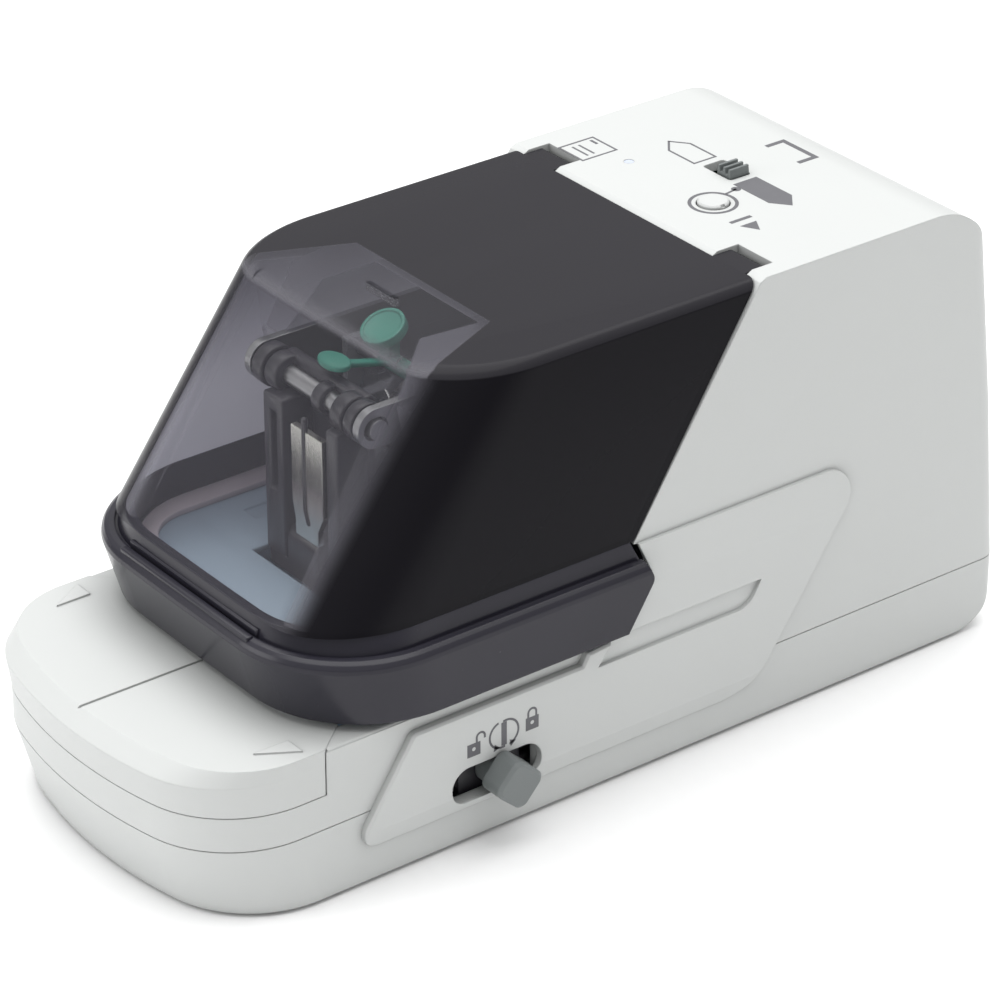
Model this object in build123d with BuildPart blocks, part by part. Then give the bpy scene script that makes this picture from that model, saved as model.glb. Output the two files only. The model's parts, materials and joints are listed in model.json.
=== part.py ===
from build123d import *
import os
from math import acos, atan2, cos, degrees, hypot, pi, radians, sin, sqrt

# Electric stapler: origin on the floor under the middle of the body, +Y towards the rear,
# +X towards the side that carries the lock knob, millimetres.

# ---------------------------------------------------------------- driving dimensions
LENGTH = 221.0
BODY_HALF = 44.4
FOOT = 1.0
FOOT_POCKET = 0.8
FOOT_SIZE = (16.0, 9.0)
WALL = 2.2
SEAM = 0.2
FIT = 0.3
FRONT = -LENGTH / 2
REAR = LENGTH / 2

BOW_RADIUS = 115.0
CORNER_RADIUS = 24.0
REAR_CORNER = 5.0
HEEL_RADIUS = 13.0

LOW_SEAM_Z = 17.9
HIGH_SEAM_Z = 26.0
RIM_Z = 33.4
TABLE_Z = 36.0
NOSE_TOP_Z = 36.6
FRAME_BOTTOM_Z = 38.6
FRAME_EDGE_Z = 51.6
HOOD_FOOT_Z = 57.8
HOOD_TOP_Z = 107.4
TOP_Z = 107.8

SOLE_FRONT = FRONT + 5.7
SEAM_FRONT = FRONT + 1.1
NOSE_FLAT_FRONT = FRONT + 4.0
NOSE_REAR = -76.4
NOSE_KEY_HALF = 38.0
NOSE_KEY_REAR = -68.5

HOUSING_FRONT = 7.5
HOUSING_TOP_FRONT = 38.0
SHEAR = 0.686
HOUSING_REAR_TOP = 102.7
CROWN_RADIUS = 17.0
TOP_HALF = 42.8

HINGE_Y = HOUSING_TOP_FRONT + 3.4
HINGE_Z = TOP_Z - 2.7
HINGE_LUG_X = 32.5
HINGE_LUG_LENGTH = 10.6
HINGE_PIN_R = 1.0
RUNNING = 0.05

HOOD_HALF_LOW = 44.5
HOOD_HALF_TOP = 42.0
HOOD_FRONT_LOW = -77.4
HOOD_CORNER = 25.0
HOOD_BOW = 1500.0
HOOD_WALL = 1.8
EDGE_ROUND = 2.5
ROUND_STEPS = 4
FRAME_HALF = 49.3
FRAME_CORNER = 28.0
FRAME_FRONT_LOW = -78.2
FRAME_FRONT_EDGE = -82.0
FRAME_ROUND = 2.6
BEAD_WIDTH = 3.0
VALLEY_WIDTH = 0.7
VALLEY_DEPTH = 0.7
FRAME_WALL = 2.4

PANEL_THICK = 1.9
RECESS_DEPTH = 0.9
RECESS_ROUND = 5.5
PANEL_FACE = BODY_HALF + PANEL_THICK
SLOT_FRONT = -46.0
SLOT_REAR = -22.5
SLOT_Z = 15.4
SLOT_HALF = 4.5

KNOB_Y = -33.0
KNOB_Z = 15.4
KNOB_STEM_R = 3.8
KNOB_TILT = 48.0
KNOB_PIN_R = 1.8

START_XY = (8.0, 53.6)
START_R = 3.5
LED_XY = (-19.8, 52.7)
LED_R = 1.15
MODE_XY = (-3.25, 66.9)
MODE_SLOT = (9.5, 6.0)
MODE_KNOB_X = -1.15

CHASSIS_X = 22.0
SHEET = 1.6
CHASSIS_IN = CHASSIS_X - SHEET / 2
CHASSIS_OUT = CHASSIS_X + SHEET / 2
ARM_SHEET = 2.0
ARM_X = 19.4

HEAD_YZ = (-45.5, 90.0)
PIVOT_YZ = (40.0, 90.0)
ROLLER_YZ = (78.0, 74.0)
CAM_YZ = (78.0, 60.0)
HEAD_STROKE = 8.0
CAM_STROKE = radians(150.0)
ROLLER_R = 4.0
SHAFT_R = 3.0
HEAD_SHAFT_R = 2.2

MODULE = 0.8
PINION_TEETH = 14
IDLER_TEETH = 44
CAM_GEAR_TEETH = 56
GEAR_THICK = 4.0
IDLER_TWO_YZ = (52.6, 48.2)
IDLER_ONE_YZ = (30.8, 40.3)
MOTOR_YZ = (38.7, 18.46)
MOTOR_R = 12.5
AXLE_R = 2.5
CAM_SHAFT_R = 4.0
CAM_CLEAR = 0.3

GUIDE_TOP_Z = 75.0
SENSOR_YZ = (-14.0, 28.0)
SENSOR_PIN_R = 1.2
LEVER_YZ = (-24.0, 88.0)
BOARD_Z = 98.6
BOARD_THICK = 1.4
FLOOR_Z = FOOT + WALL

os.makedirs("parts", exist_ok=True)


def save(piece, label):
    """Label a finished piece and write it under its own name."""
    piece.part.label = label
    export_step(piece.part, f"parts/{label}.step")


def plan(half_width, front_y, corner_r, rear_y, rear_r, bow_r=BOW_RADIUS):
    """Plan outline with a bowed front, round front corners and small rear corners."""
    reach = half_width - corner_r
    rise = sqrt((bow_r - corner_r) ** 2 - reach**2)
    corner_y = front_y + bow_r - rise
    lean = atan2(reach, rise)
    turn = (lean + pi / 2) / 2
    bow_end = (bow_r * sin(lean), front_y + bow_r * (1 - cos(lean)))
    bow_mid = (bow_r * sin(lean / 2), front_y + bow_r * (1 - cos(lean / 2)))
    corner_mid = (reach + corner_r * sin(turn), corner_y - corner_r * cos(turn))
    rear_mid = rear_r * (1 - cos(pi / 4))
    with BuildSketch() as outline:
        with BuildLine():
            ThreePointArc((0, front_y), bow_mid, bow_end)
            ThreePointArc(bow_end, corner_mid, (half_width, corner_y))
            Line((half_width, corner_y), (half_width, rear_y - rear_r))
            ThreePointArc(
                (half_width, rear_y - rear_r),
                (half_width - rear_mid, rear_y - rear_mid),
                (half_width - rear_r, rear_y),
            )
            Line((half_width - rear_r, rear_y), (0, rear_y))
            mirror(about=Plane.YZ)
        make_face()
    return outline.sketch


def tapered(low, low_z, high, high_z):
    """Solid lofted between two plan outlines."""
    with BuildPart() as solid:
        with BuildSketch(Plane.XY.offset(low_z)):
            add(low)
        with BuildSketch(Plane.XY.offset(high_z)):
            add(high)
        loft()
    return solid.part


def block(x_span, y_span, z_span):
    """Plain block given by its spans, for pockets and for joining into larger pieces."""
    centre = [(span[0] + span[1]) / 2 for span in (x_span, y_span, z_span)]
    size = [span[1] - span[0] for span in (x_span, y_span, z_span)]
    with BuildPart() as solid:
        with Locations(Location(centre)):
            Box(*size)
    return solid.part


def rod(radius, x_span, yz):
    """Round bar along X."""
    with BuildPart() as bar:
        with BuildSketch(Plane.YZ.offset(x_span[0])):
            with Locations(yz):
                Circle(radius)
        extrude(amount=x_span[1] - x_span[0])
    return bar.part


# ---------------------------------------------------------------- bottom shell
sole_plan = plan(BODY_HALF, SOLE_FRONT, CORNER_RADIUS, REAR, REAR_CORNER)
seam_plan = plan(BODY_HALF, SEAM_FRONT, CORNER_RADIUS, REAR, REAR_CORNER)
inner_corner = CORNER_RADIUS - WALL
inner_sole = plan(BODY_HALF - WALL, SOLE_FRONT + WALL + 1, inner_corner, REAR - WALL, REAR_CORNER - WALL)
inner_seam = plan(BODY_HALF - WALL, SEAM_FRONT + WALL, inner_corner, REAR - WALL, REAR_CORNER - WALL)

base_cavity = tapered(inner_sole, FOOT + WALL, inner_seam, LOW_SEAM_Z + 1)


def heel_solid(inset, top_z):
    """Side-view block with the round heel at the rear of the base."""
    with BuildPart() as solid:
        with BuildSketch(Plane.YZ) as profile:
            with BuildLine():
                Polyline(
                    (FRONT - 1, FOOT + inset), (REAR - inset, FOOT + inset), (REAR - inset, top_z),
                    (FRONT - 1, top_z), close=True,
                )
            make_face()
            heel_corner = profile.vertices().sort_by_distance((REAR - inset, FOOT + inset))[0]
            fillet(heel_corner, HEEL_RADIUS - inset)
        extrude(amount=BODY_HALF + 1, both=True)
    return solid.part


heel_outside = heel_solid(0, LOW_SEAM_Z)
with BuildPart() as base_hollow:
    add(base_cavity)
    add(heel_solid(WALL, LOW_SEAM_Z + 1), mode=Mode.INTERSECT)

screw_posts = [(-30, -66), (30, -66), (-34, 98), (34, 98)]
foot_places = [(-32, -78), (32, -78), (-32, 84), (32, 84)]
with BuildPart() as bottom_shell:
    add(tapered(sole_plan, FOOT, seam_plan, LOW_SEAM_Z - SEAM))
    add(heel_outside, mode=Mode.INTERSECT)
    add(base_hollow.part, mode=Mode.SUBTRACT)
    with BuildSketch(Plane.XY.offset(FOOT)):
        with Locations(*screw_posts):
            Circle(3.6)
    extrude(amount=LOW_SEAM_Z - SEAM - FOOT)
    with BuildSketch(Plane.XY.offset(FOOT)):
        with Locations(*screw_posts):
            Circle(1.7)
    extrude(amount=LOW_SEAM_Z, mode=Mode.SUBTRACT)
    with BuildSketch(Plane.XY.offset(FOOT)):
        with Locations(*screw_posts):
            Circle(2.9)
    extrude(amount=2.4, mode=Mode.SUBTRACT)
    with BuildSketch(Plane.XY.offset(FOOT)):
        with Locations(*foot_places):
            SlotOverall(FOOT_SIZE[0] + 2 * SEAM, FOOT_SIZE[1] + 2 * SEAM)
    extrude(amount=FOOT_POCKET, mode=Mode.SUBTRACT)
    add(
        block((BODY_HALF - 3, BODY_HALF + 1), (SLOT_FRONT, SLOT_REAR), (SLOT_Z - SLOT_HALF, LOW_SEAM_Z)),
        mode=Mode.SUBTRACT,
    )
save(bottom_shell, "bottom_shell")

with BuildPart() as base_screws:
    with BuildSketch(Plane.XY.offset(FOOT + 0.6)):
        with Locations(*screw_posts):
            Circle(2.7)
    extrude(amount=1.8)
    with BuildSketch(Plane.XY.offset(FOOT + 2.4)):
        with Locations(*screw_posts):
            Circle(1.5)
    extrude(amount=LOW_SEAM_Z - FOOT - 3.4)
    with BuildSketch(Plane.XY.offset(FOOT + 0.6)):
        with Locations(*screw_posts):
            Rectangle(3.4, 0.8)
            Rectangle(0.8, 3.4)
    extrude(amount=0.9, mode=Mode.SUBTRACT)
save(base_screws, "base_screws")

with BuildPart() as rubber_feet:
    with BuildSketch():
        with Locations(*foot_places):
            SlotOverall(*FOOT_SIZE)
    extrude(amount=FOOT + FOOT_POCKET)
    chamfer(rubber_feet.faces().filter_by(Axis.Z).sort_by(Axis.Z)[:4].edges(), 0.4)
save(rubber_feet, "rubber_feet")

# ---------------------------------------------------------------- middle shell and nose table
rim_plan = plan(BODY_HALF, SEAM_FRONT, CORNER_RADIUS, HOUSING_FRONT - SEAM, 0.4)
rim_inner = plan(BODY_HALF - WALL, SEAM_FRONT + WALL, inner_corner, HOUSING_FRONT + 9, 0.4)
with BuildPart() as middle_shell:
    with BuildSketch(Plane.XY.offset(LOW_SEAM_Z)):
        add(rim_plan)
    extrude(amount=TABLE_Z - LOW_SEAM_Z)
    nose_room = block((-60, 60), (FRONT - 5, NOSE_REAR), (HIGH_SEAM_Z - SEAM, TABLE_Z + 1))
    add(nose_room, mode=Mode.SUBTRACT)
    with BuildSketch(Plane.XY.offset(HIGH_SEAM_Z - SEAM)):
        with BuildLine():
            Polyline(
                (-BODY_HALF - 2, NOSE_REAR - 1), (-BODY_HALF - 2, NOSE_REAR), (-BODY_HALF, NOSE_REAR),
                (-NOSE_KEY_HALF, NOSE_KEY_REAR), (NOSE_KEY_HALF, NOSE_KEY_REAR), (BODY_HALF, NOSE_REAR),
                (BODY_HALF + 2, NOSE_REAR), (BODY_HALF + 2, NOSE_REAR - 1), close=True,
            )
        make_face()
    extrude(amount=TABLE_Z, mode=Mode.SUBTRACT)
    with BuildSketch(Plane.XY.offset(LOW_SEAM_Z)):
        add(rim_inner)
    extrude(amount=TABLE_Z, mode=Mode.SUBTRACT)
    shelf_inner = plan(NOSE_KEY_HALF, SEAM_FRONT + 9, inner_corner, HOUSING_FRONT + 9, 0.4)
    with BuildSketch(Plane.XY.offset(HIGH_SEAM_Z - SEAM - 2)):
        add(plan(BODY_HALF - 1, SEAM_FRONT + 1, CORNER_RADIUS - 1, HOUSING_FRONT - SEAM, 0.4))
        add(shelf_inner, mode=Mode.SUBTRACT)
    extrude(amount=2)
    add(
        block((BODY_HALF - 9, BODY_HALF + 1), (SLOT_FRONT, SLOT_REAR), (LOW_SEAM_Z - 1, SLOT_Z + SLOT_HALF)),
        mode=Mode.SUBTRACT,
    )
save(middle_shell, "middle_shell")

nose_low = plan(BODY_HALF, SEAM_FRONT, CORNER_RADIUS, 0, 0.4)
nose_rim = plan(BODY_HALF, FRONT, CORNER_RADIUS, 0, 0.4)
nose_flat = plan(BODY_HALF - 0.2, NOSE_FLAT_FRONT, CORNER_RADIUS - 4, 0, 0.4)
nose_inner = plan(BODY_HALF - WALL, SEAM_FRONT + WALL, inner_corner, 0, 0.4)
with BuildPart() as nose_table:
    add(tapered(nose_low, HIGH_SEAM_Z, nose_rim, RIM_Z))
    add(tapered(nose_rim, RIM_Z, nose_flat, NOSE_TOP_Z))
    with BuildSketch(Plane.XY.offset(HIGH_SEAM_Z - 1)):
        with BuildLine():
            Polyline(
                (-60, FRONT - 5), (-60, NOSE_REAR - FIT), (-BODY_HALF, NOSE_REAR - FIT),
                (-NOSE_KEY_HALF, NOSE_KEY_REAR - FIT), (NOSE_KEY_HALF, NOSE_KEY_REAR - FIT),
                (BODY_HALF, NOSE_REAR - FIT), (60, NOSE_REAR - FIT), (60, FRONT - 5), close=True,
            )
        make_face()
    extrude(amount=NOSE_TOP_Z, mode=Mode.INTERSECT)
    with BuildSketch(Plane.XY.offset(HIGH_SEAM_Z)):
        add(nose_inner)
    extrude(amount=NOSE_TOP_Z - 3.0 - HIGH_SEAM_Z, mode=Mode.SUBTRACT)
    add(block((-0.35, 0.35), (FRONT, NOSE_KEY_REAR), (NOSE_TOP_Z - 0.5, NOSE_TOP_Z + 1)), mode=Mode.SUBTRACT)
    with BuildSketch(Plane.XY.offset(NOSE_TOP_Z - 0.2)):
        with BuildLine():
            Polyline((37, -89), (42.2, -80.5), (37, -80.5), close=True)
        make_face()
        mirror(about=Plane.YZ)
    extrude(amount=0.6)
save(nose_table, "nose_table")

with BuildPart() as table_plate:
    add(block((-37.7, 37.7), (NOSE_KEY_REAR, 12), (TABLE_Z - 1.6, TABLE_Z)))
    add(block((-12, 12), (-60, -38), (TABLE_Z - 2, TABLE_Z + 1)), mode=Mode.SUBTRACT)
    add(block((-37.7, -34.5), (-60, 10), (TABLE_Z, TABLE_Z + 1.0)))
    add(block((34.5, 37.7), (-12, 10), (TABLE_Z, TABLE_Z + 1.0)))
    add(block((28, 34.2), (-52, -20), (TABLE_Z - 2, TABLE_Z + 1)), mode=Mode.SUBTRACT)
    add(block((-31.4, -27.6), (-31, -13), (TABLE_Z - 2, TABLE_Z + 1)), mode=Mode.SUBTRACT)
    for ear_x in (-32.7, -26.3):
        add(block((ear_x - 0.8, ear_x + 0.8), (-18, -10), (25, TABLE_Z - 1.6)))
    add(rod(SENSOR_PIN_R, (-34, -25), SENSOR_YZ), mode=Mode.SUBTRACT)
save(table_plate, "table_plate")

# ---------------------------------------------------------------- rear housing
def housing_side(inset, front_extra):
    """Side-view outline of the housing, or of its hollow when inset by the wall."""
    top = TOP_Z - inset
    low = LOW_SEAM_Z - (1 if inset else 0)
    lean_y = HOUSING_FRONT - 4.5
    top_front = HOUSING_TOP_FRONT - front_extra
    return [
        (HOUSING_FRONT - front_extra, low),
        (REAR - inset, low),
        (REAR - inset, LOW_SEAM_Z + 1),
        (HOUSING_REAR_TOP - inset, top),
        (top_front, top),
        (lean_y - front_extra, HOOD_FOOT_Z - 0.8),
        (HOUSING_FRONT - front_extra, HOOD_FOOT_Z - 1.8),
    ]


def housing_sleeve(inset):
    """Sides and back of the housing: upright to the hood's foot, then leaning in."""
    low_z = LOW_SEAM_Z - (1 if inset else 0)
    waist_y = REAR + (HOUSING_REAR_TOP - REAR) * (HOOD_FOOT_Z - LOW_SEAM_Z - 1) / (TOP_Z - LOW_SEAM_Z - 1)
    corner = CORNER_RADIUS - inset
    rear_r = REAR_CORNER - inset / 2
    low = plan(BODY_HALF - inset, FRONT, corner, REAR - inset, rear_r)
    waist = plan(BODY_HALF - inset, FRONT, corner, waist_y - inset, rear_r)
    top = plan(TOP_HALF - inset, FRONT, corner, HOUSING_REAR_TOP - inset, rear_r)
    with BuildPart() as sleeve:
        add(tapered(low, low_z, waist, HOOD_FOOT_Z))
        add(tapered(waist, HOOD_FOOT_Z, top, TOP_Z))
    return sleeve.part


def housing_solid(inset, front_extra):
    """Housing body with leaning sides, raked back and round crown."""
    with BuildPart() as body:
        with BuildSketch(Plane.YZ) as profile:
            with BuildLine():
                Polyline(*housing_side(inset, front_extra), close=True)
            make_face()
            crown = profile.vertices().sort_by_distance((HOUSING_REAR_TOP - inset, TOP_Z - inset))[0]
            fillet(crown, CROWN_RADIUS - inset)
        extrude(amount=BODY_HALF + 2, both=True)
        add(housing_sleeve(inset), mode=Mode.INTERSECT)
    return body.part


housing_hollow = housing_solid(WALL, 12)
notch_half = HINGE_LUG_LENGTH / 2 + FIT
with BuildPart() as rear_housing:
    add(housing_solid(0, 0))
    hinge_edge = rear_housing.edges().filter_by(Axis.X).sort_by_distance((0, HOUSING_TOP_FRONT, TOP_Z))[0]
    chamfer(hinge_edge, 1.0)
    add(housing_hollow, mode=Mode.SUBTRACT)
    for side in (-1, 1):
        lug_x = side * HINGE_LUG_X
        ear_in = block(
            (lug_x - notch_half - 4, lug_x + notch_half + 2.4),
            (HINGE_Y - 2.9, HINGE_Y + 3.2),
            (HINGE_Z - 2.4, TOP_Z - WALL / 2),
        )
        ear_out = block(
            (lug_x - notch_half - 2.4, lug_x + notch_half + 4),
            (HINGE_Y - 2.9, HINGE_Y + 3.2),
            (HINGE_Z - 2.4, TOP_Z - WALL / 2),
        )
        add(ear_in if side > 0 else ear_out)
    for side in (-1, 1):
        lug_x = side * HINGE_LUG_X
        add(
            block(
                (lug_x - notch_half, lug_x + notch_half),
                (HOUSING_TOP_FRONT - 5, HINGE_Y + 3.3),
                (HINGE_Z - 6, TOP_Z + 1),
            ),
            mode=Mode.SUBTRACT,
        )
        pin_span = (lug_x - notch_half - 2.0, lug_x + notch_half + 2.0)
        add(rod(HINGE_PIN_R, pin_span, (HINGE_Y, HINGE_Z)), mode=Mode.SUBTRACT)
    with BuildSketch(Plane.XY.offset(BOARD_Z + BOARD_THICK)):
        with Locations((-21, 47.5), (-21, 74.5), (13, 44.0), (13, 74.5)):
            Circle(2.0)
    extrude(amount=TOP_Z - WALL / 2 - BOARD_Z - BOARD_THICK)
    with BuildSketch(Plane.XY.offset(TOP_Z - WALL - 1)):
        with Locations(START_XY):
            Circle(START_R + FIT)
        with Locations(LED_XY):
            Circle(LED_R)
        with Locations(MODE_XY):
            RectangleRounded(*MODE_SLOT, 0.8)
    extrude(amount=WALL + 2, mode=Mode.SUBTRACT)
    with BuildSketch(Plane.XZ.offset(-REAR - 2)):
        with Locations((-28, 28)):
            Circle(4.2)
    extrude(amount=8, mode=Mode.SUBTRACT)
save(rear_housing, "rear_housing")

with BuildPart() as cover_hinge_pins:
    for side in (-1, 1):
        lug_x = side * HINGE_LUG_X
        add(rod(HINGE_PIN_R, (lug_x - notch_half - 2.0, lug_x + notch_half + 2.0), (HINGE_Y, HINGE_Z)))
save(cover_hinge_pins, "cover_hinge_pins")

# ---------------------------------------------------------------- side panels
panel_points = [
    (-55.5, 33.2), (-11.5, 33.2), (-10.0, 35.8), (-1.4, 36.6), (6.9, 50.0), (3.9, 57.0),
    (68.7, 57.0), (36.0, 9.3), (-71.2, 9.3),
]


recess_points = [(-7.5, 31.6), (34.2, 31.6), (37.4, 37.4), (-3.0, 37.4)]
panel_rounds = [((68.7, 57.0), 6.5), ((36.0, 9.3), 16.0), ((-71.2, 9.3), 3.7), ((-55.5, 33.2), 2.0)]


def panel_outline():
    """Side-panel outline with its rounded corners."""
    with BuildSketch() as outline:
        with BuildLine():
            Polyline(*panel_points, close=True)
        make_face()
        for corner, radius in panel_rounds:
            fillet(outline.vertices().sort_by_distance(corner)[0], radius)
    return outline.sketch


def facet(z_inner, z_outer, depth):
    """Wedge that slopes the panel's face along its top or bottom edge."""
    reach = z_outer + (6 if z_outer > z_inner else -6)
    with BuildPart() as wedge:
        with BuildSketch(Plane.XZ.offset(-REAR)):
            with BuildLine():
                Polyline(
                    (PANEL_FACE, z_inner), (PANEL_FACE - depth, z_outer), (PANEL_FACE - depth, reach),
                    (PANEL_FACE + 3, reach), (PANEL_FACE + 3, z_inner), close=True,
                )
            make_face()
        extrude(amount=LENGTH)
    return wedge.part


def panel_form():
    """Raised side panel with chamfered rim and sloped top and bottom facets."""
    outline = panel_outline()
    with BuildPart() as panel:
        with BuildSketch(Plane.YZ.offset(BODY_HALF)):
            add(outline)
        extrude(amount=PANEL_THICK)
        chamfer(panel.faces().sort_by(Axis.X)[-1].edges(), 0.5)
        add(facet(47.0, 57.0, 1.1), mode=Mode.SUBTRACT)
        add(facet(13.6, 9.3, 1.3), mode=Mode.SUBTRACT)
    return panel.part


with BuildPart() as side_panel_right:
    add(panel_form())
    with BuildSketch(Plane.YZ.offset(PANEL_FACE - RECESS_DEPTH)):
        with BuildLine():
            Polyline(*recess_points, close=True)
        recess = make_face()
        fillet(recess.vertices().sort_by_distance(recess_points[1])[0], RECESS_ROUND)
    extrude(amount=2, mode=Mode.SUBTRACT)
    with BuildSketch(Plane.YZ.offset(BODY_HALF - 1)):
        with Locations(((SLOT_FRONT + SLOT_REAR) / 2, SLOT_Z)):
            SlotOverall(SLOT_REAR - SLOT_FRONT, 2 * SLOT_HALF)
    extrude(amount=4, mode=Mode.SUBTRACT)
save(side_panel_right, "side_panel_right")

with BuildPart() as side_panel_left:
    add(panel_form())
    mirror(about=Plane.YZ, mode=Mode.REPLACE)
save(side_panel_left, "side_panel_left")

# ---------------------------------------------------------------- cover: smoked hood and its frame
def hood_rear_y(z):
    """Rear edge of the hood, a small gap ahead of the housing's slanted front edge."""
    lean_y = HOUSING_FRONT - 4.5
    slope = (HOUSING_TOP_FRONT - lean_y) / (TOP_Z - HOOD_FOOT_Z + 0.8)
    return lean_y + slope * (z - HOOD_FOOT_Z + 0.8) - 0.5


def hood_plan(inset, z):
    """Plan outline of the sheared hood at a height, reduced all round by the given inset."""
    share = (z - HOOD_FOOT_Z) / (HOOD_TOP_Z - HOOD_FOOT_Z)
    half = HOOD_HALF_LOW + (HOOD_HALF_TOP - HOOD_HALF_LOW) * share - inset
    front = HOOD_FRONT_LOW + SHEAR * (z - HOOD_FOOT_Z) + inset * sqrt(1 + SHEAR**2)
    return plan(half, front, HOOD_CORNER - inset, 60, 0.4, HOOD_BOW)


def hood_form(inset, low_z, high_z):
    """Sheared hood volume with a rounded crown, built in steps round the top edge."""
    shoulder_z = high_z - EDGE_ROUND
    with BuildPart() as form:
        add(tapered(hood_plan(inset, low_z), low_z, hood_plan(inset, shoulder_z), shoulder_z))
        for step in range(ROUND_STEPS):
            start = radians(90 * step / ROUND_STEPS)
            stop = radians(90 * (step + 1) / ROUND_STEPS)
            low_round = shoulder_z + EDGE_ROUND * sin(start)
            high_round = shoulder_z + EDGE_ROUND * sin(stop)
            low = hood_plan(inset + EDGE_ROUND * (1 - cos(start)), low_round)
            high = hood_plan(inset + EDGE_ROUND * (1 - cos(stop)), high_round)
            add(tapered(low, low_round, high, high_round))
    return form.part


hood_hollow = hood_form(HOOD_WALL, HOOD_FOOT_Z - 1, HOOD_TOP_Z - HOOD_WALL)
with BuildPart() as cover_hood:
    add(hood_form(0, HOOD_FOOT_Z, HOOD_TOP_Z))
    with BuildSketch(Plane.YZ):
        with BuildLine():
            Polyline(
                (-120, HOOD_FOOT_Z), (hood_rear_y(HOOD_FOOT_Z), HOOD_FOOT_Z),
                (hood_rear_y(HOOD_TOP_Z), HOOD_TOP_Z), (-120, HOOD_TOP_Z), close=True,
            )
        make_face()
    extrude(amount=60, both=True, mode=Mode.INTERSECT)
    add(hood_hollow, mode=Mode.SUBTRACT)
    with BuildSketch(Plane.XY.offset(HOOD_TOP_Z - HOOD_WALL - 1)):
        with Locations((-1.8, -27.5)):
            SlotOverall(10.5, 1.3)
    extrude(amount=HOOD_WALL + 2, mode=Mode.SUBTRACT)
    for side in (-1, 1):
        lug_span = (side * HINGE_LUG_X - HINGE_LUG_LENGTH / 2, side * HINGE_LUG_X + HINGE_LUG_LENGTH / 2)
        add(rod(HOOD_TOP_Z - HINGE_Z, lug_span, (HINGE_Y, HINGE_Z)))
        add(block(lug_span, (hood_rear_y(HOOD_TOP_Z) - 4, HINGE_Y), (HINGE_Z - 1.9, HOOD_TOP_Z - 0.1)))
    for side in (-1, 1):
        bore_span = (side * HINGE_LUG_X - HINGE_LUG_LENGTH, side * HINGE_LUG_X + HINGE_LUG_LENGTH)
        add(rod(HINGE_PIN_R + RUNNING, bore_span, (HINGE_Y, HINGE_Z)), mode=Mode.SUBTRACT)
save(cover_hood, "cover_hood")

def frame_plan(inset, front_y=FRAME_FRONT_EDGE):
    """Plan outline of the cover's frame, reduced all round by the given inset."""
    return plan(FRAME_HALF - inset, front_y + inset, FRAME_CORNER - inset, 60, 0.4, HOOD_BOW)


bead_z = FRAME_EDGE_Z + FRAME_ROUND
frame_foot = frame_plan(0.6, FRAME_FRONT_LOW - 0.6)
frame_foot_inside = frame_plan(0.6 + FRAME_WALL, FRAME_FRONT_LOW - 0.6)
hood_foot = hood_plan(0, HOOD_FOOT_Z)
hood_foot_inside = hood_plan(HOOD_WALL, HOOD_FOOT_Z)
with BuildPart() as cover_frame:
    add(tapered(frame_foot, FRAME_BOTTOM_Z, frame_plan(0), FRAME_EDGE_Z))
    for step in range(ROUND_STEPS):
        start = radians(90 * step / ROUND_STEPS)
        stop = radians(90 * (step + 1) / ROUND_STEPS)
        low_z = FRAME_EDGE_Z + FRAME_ROUND * sin(start)
        high_z = FRAME_EDGE_Z + FRAME_ROUND * sin(stop)
        low = frame_plan(FRAME_ROUND * (1 - cos(start)))
        high = frame_plan(FRAME_ROUND * (1 - cos(stop)))
        add(tapered(low, low_z, high, high_z))
    with BuildSketch(Plane.XY.offset(bead_z - VALLEY_DEPTH)):
        add(frame_plan(BEAD_WIDTH))
    extrude(amount=VALLEY_DEPTH + 1, mode=Mode.SUBTRACT)
    add(tapered(frame_plan(BEAD_WIDTH + VALLEY_WIDTH), bead_z - VALLEY_DEPTH, hood_foot, HOOD_FOOT_Z))
    with BuildSketch(Plane.YZ):
        with BuildLine():
            Polyline(
                (-120, FRAME_BOTTOM_Z), (-1.2, FRAME_BOTTOM_Z), (5.3, 50.0),
                (2.0, HOOD_FOOT_Z), (-120, HOOD_FOOT_Z), close=True,
            )
        heel_edge = make_face()
        fillet(heel_edge.vertices().sort_by_distance((5.3, 50.0))[0], 2.5)
        fillet(heel_edge.vertices().sort_by_distance((-1.2, FRAME_BOTTOM_Z))[0], 2.5)
    extrude(amount=60, both=True, mode=Mode.INTERSECT)
    with BuildSketch(Plane.XY.offset(FRAME_BOTTOM_Z - 1)):
        add(hood_foot_inside)
    extrude(amount=30, mode=Mode.SUBTRACT)
    with BuildSketch(Plane.XY.offset(FRAME_BOTTOM_Z - 1)):
        add(frame_foot_inside)
    extrude(amount=FRAME_EDGE_Z - FRAME_WALL - FRAME_BOTTOM_Z + 1, mode=Mode.SUBTRACT)
save(cover_frame, "cover_frame")

# ---------------------------------------------------------------- controls on top
with BuildPart() as start_button:
    with BuildSketch(Plane.XY.offset(TOP_Z - WALL - 1.2)):
        with Locations(START_XY):
            Circle(START_R + 0.9)
    extrude(amount=1.0)
    with BuildSketch(Plane.XY.offset(TOP_Z - WALL - 1.2)):
        with Locations(START_XY):
            Circle(START_R)
    extrude(amount=WALL + 1.2 + 0.8)
    chamfer(start_button.faces().sort_by(Axis.Z)[-1].edges(), 0.4)
    with BuildSketch(Plane.XY.offset(TOP_Z + 0.2)):
        with Locations((START_XY[0] - START_R, START_XY[1]), (START_XY[0] + START_R, START_XY[1])):
            Rectangle(0.9, 1.0)
    extrude(amount=2, mode=Mode.SUBTRACT)
    with BuildSketch(Plane.XY.offset(TOP_Z - WALL - 1.7)):
        with Locations(START_XY):
            Circle(1.2)
    extrude(amount=1.0)
save(start_button, "start_button")

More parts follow.
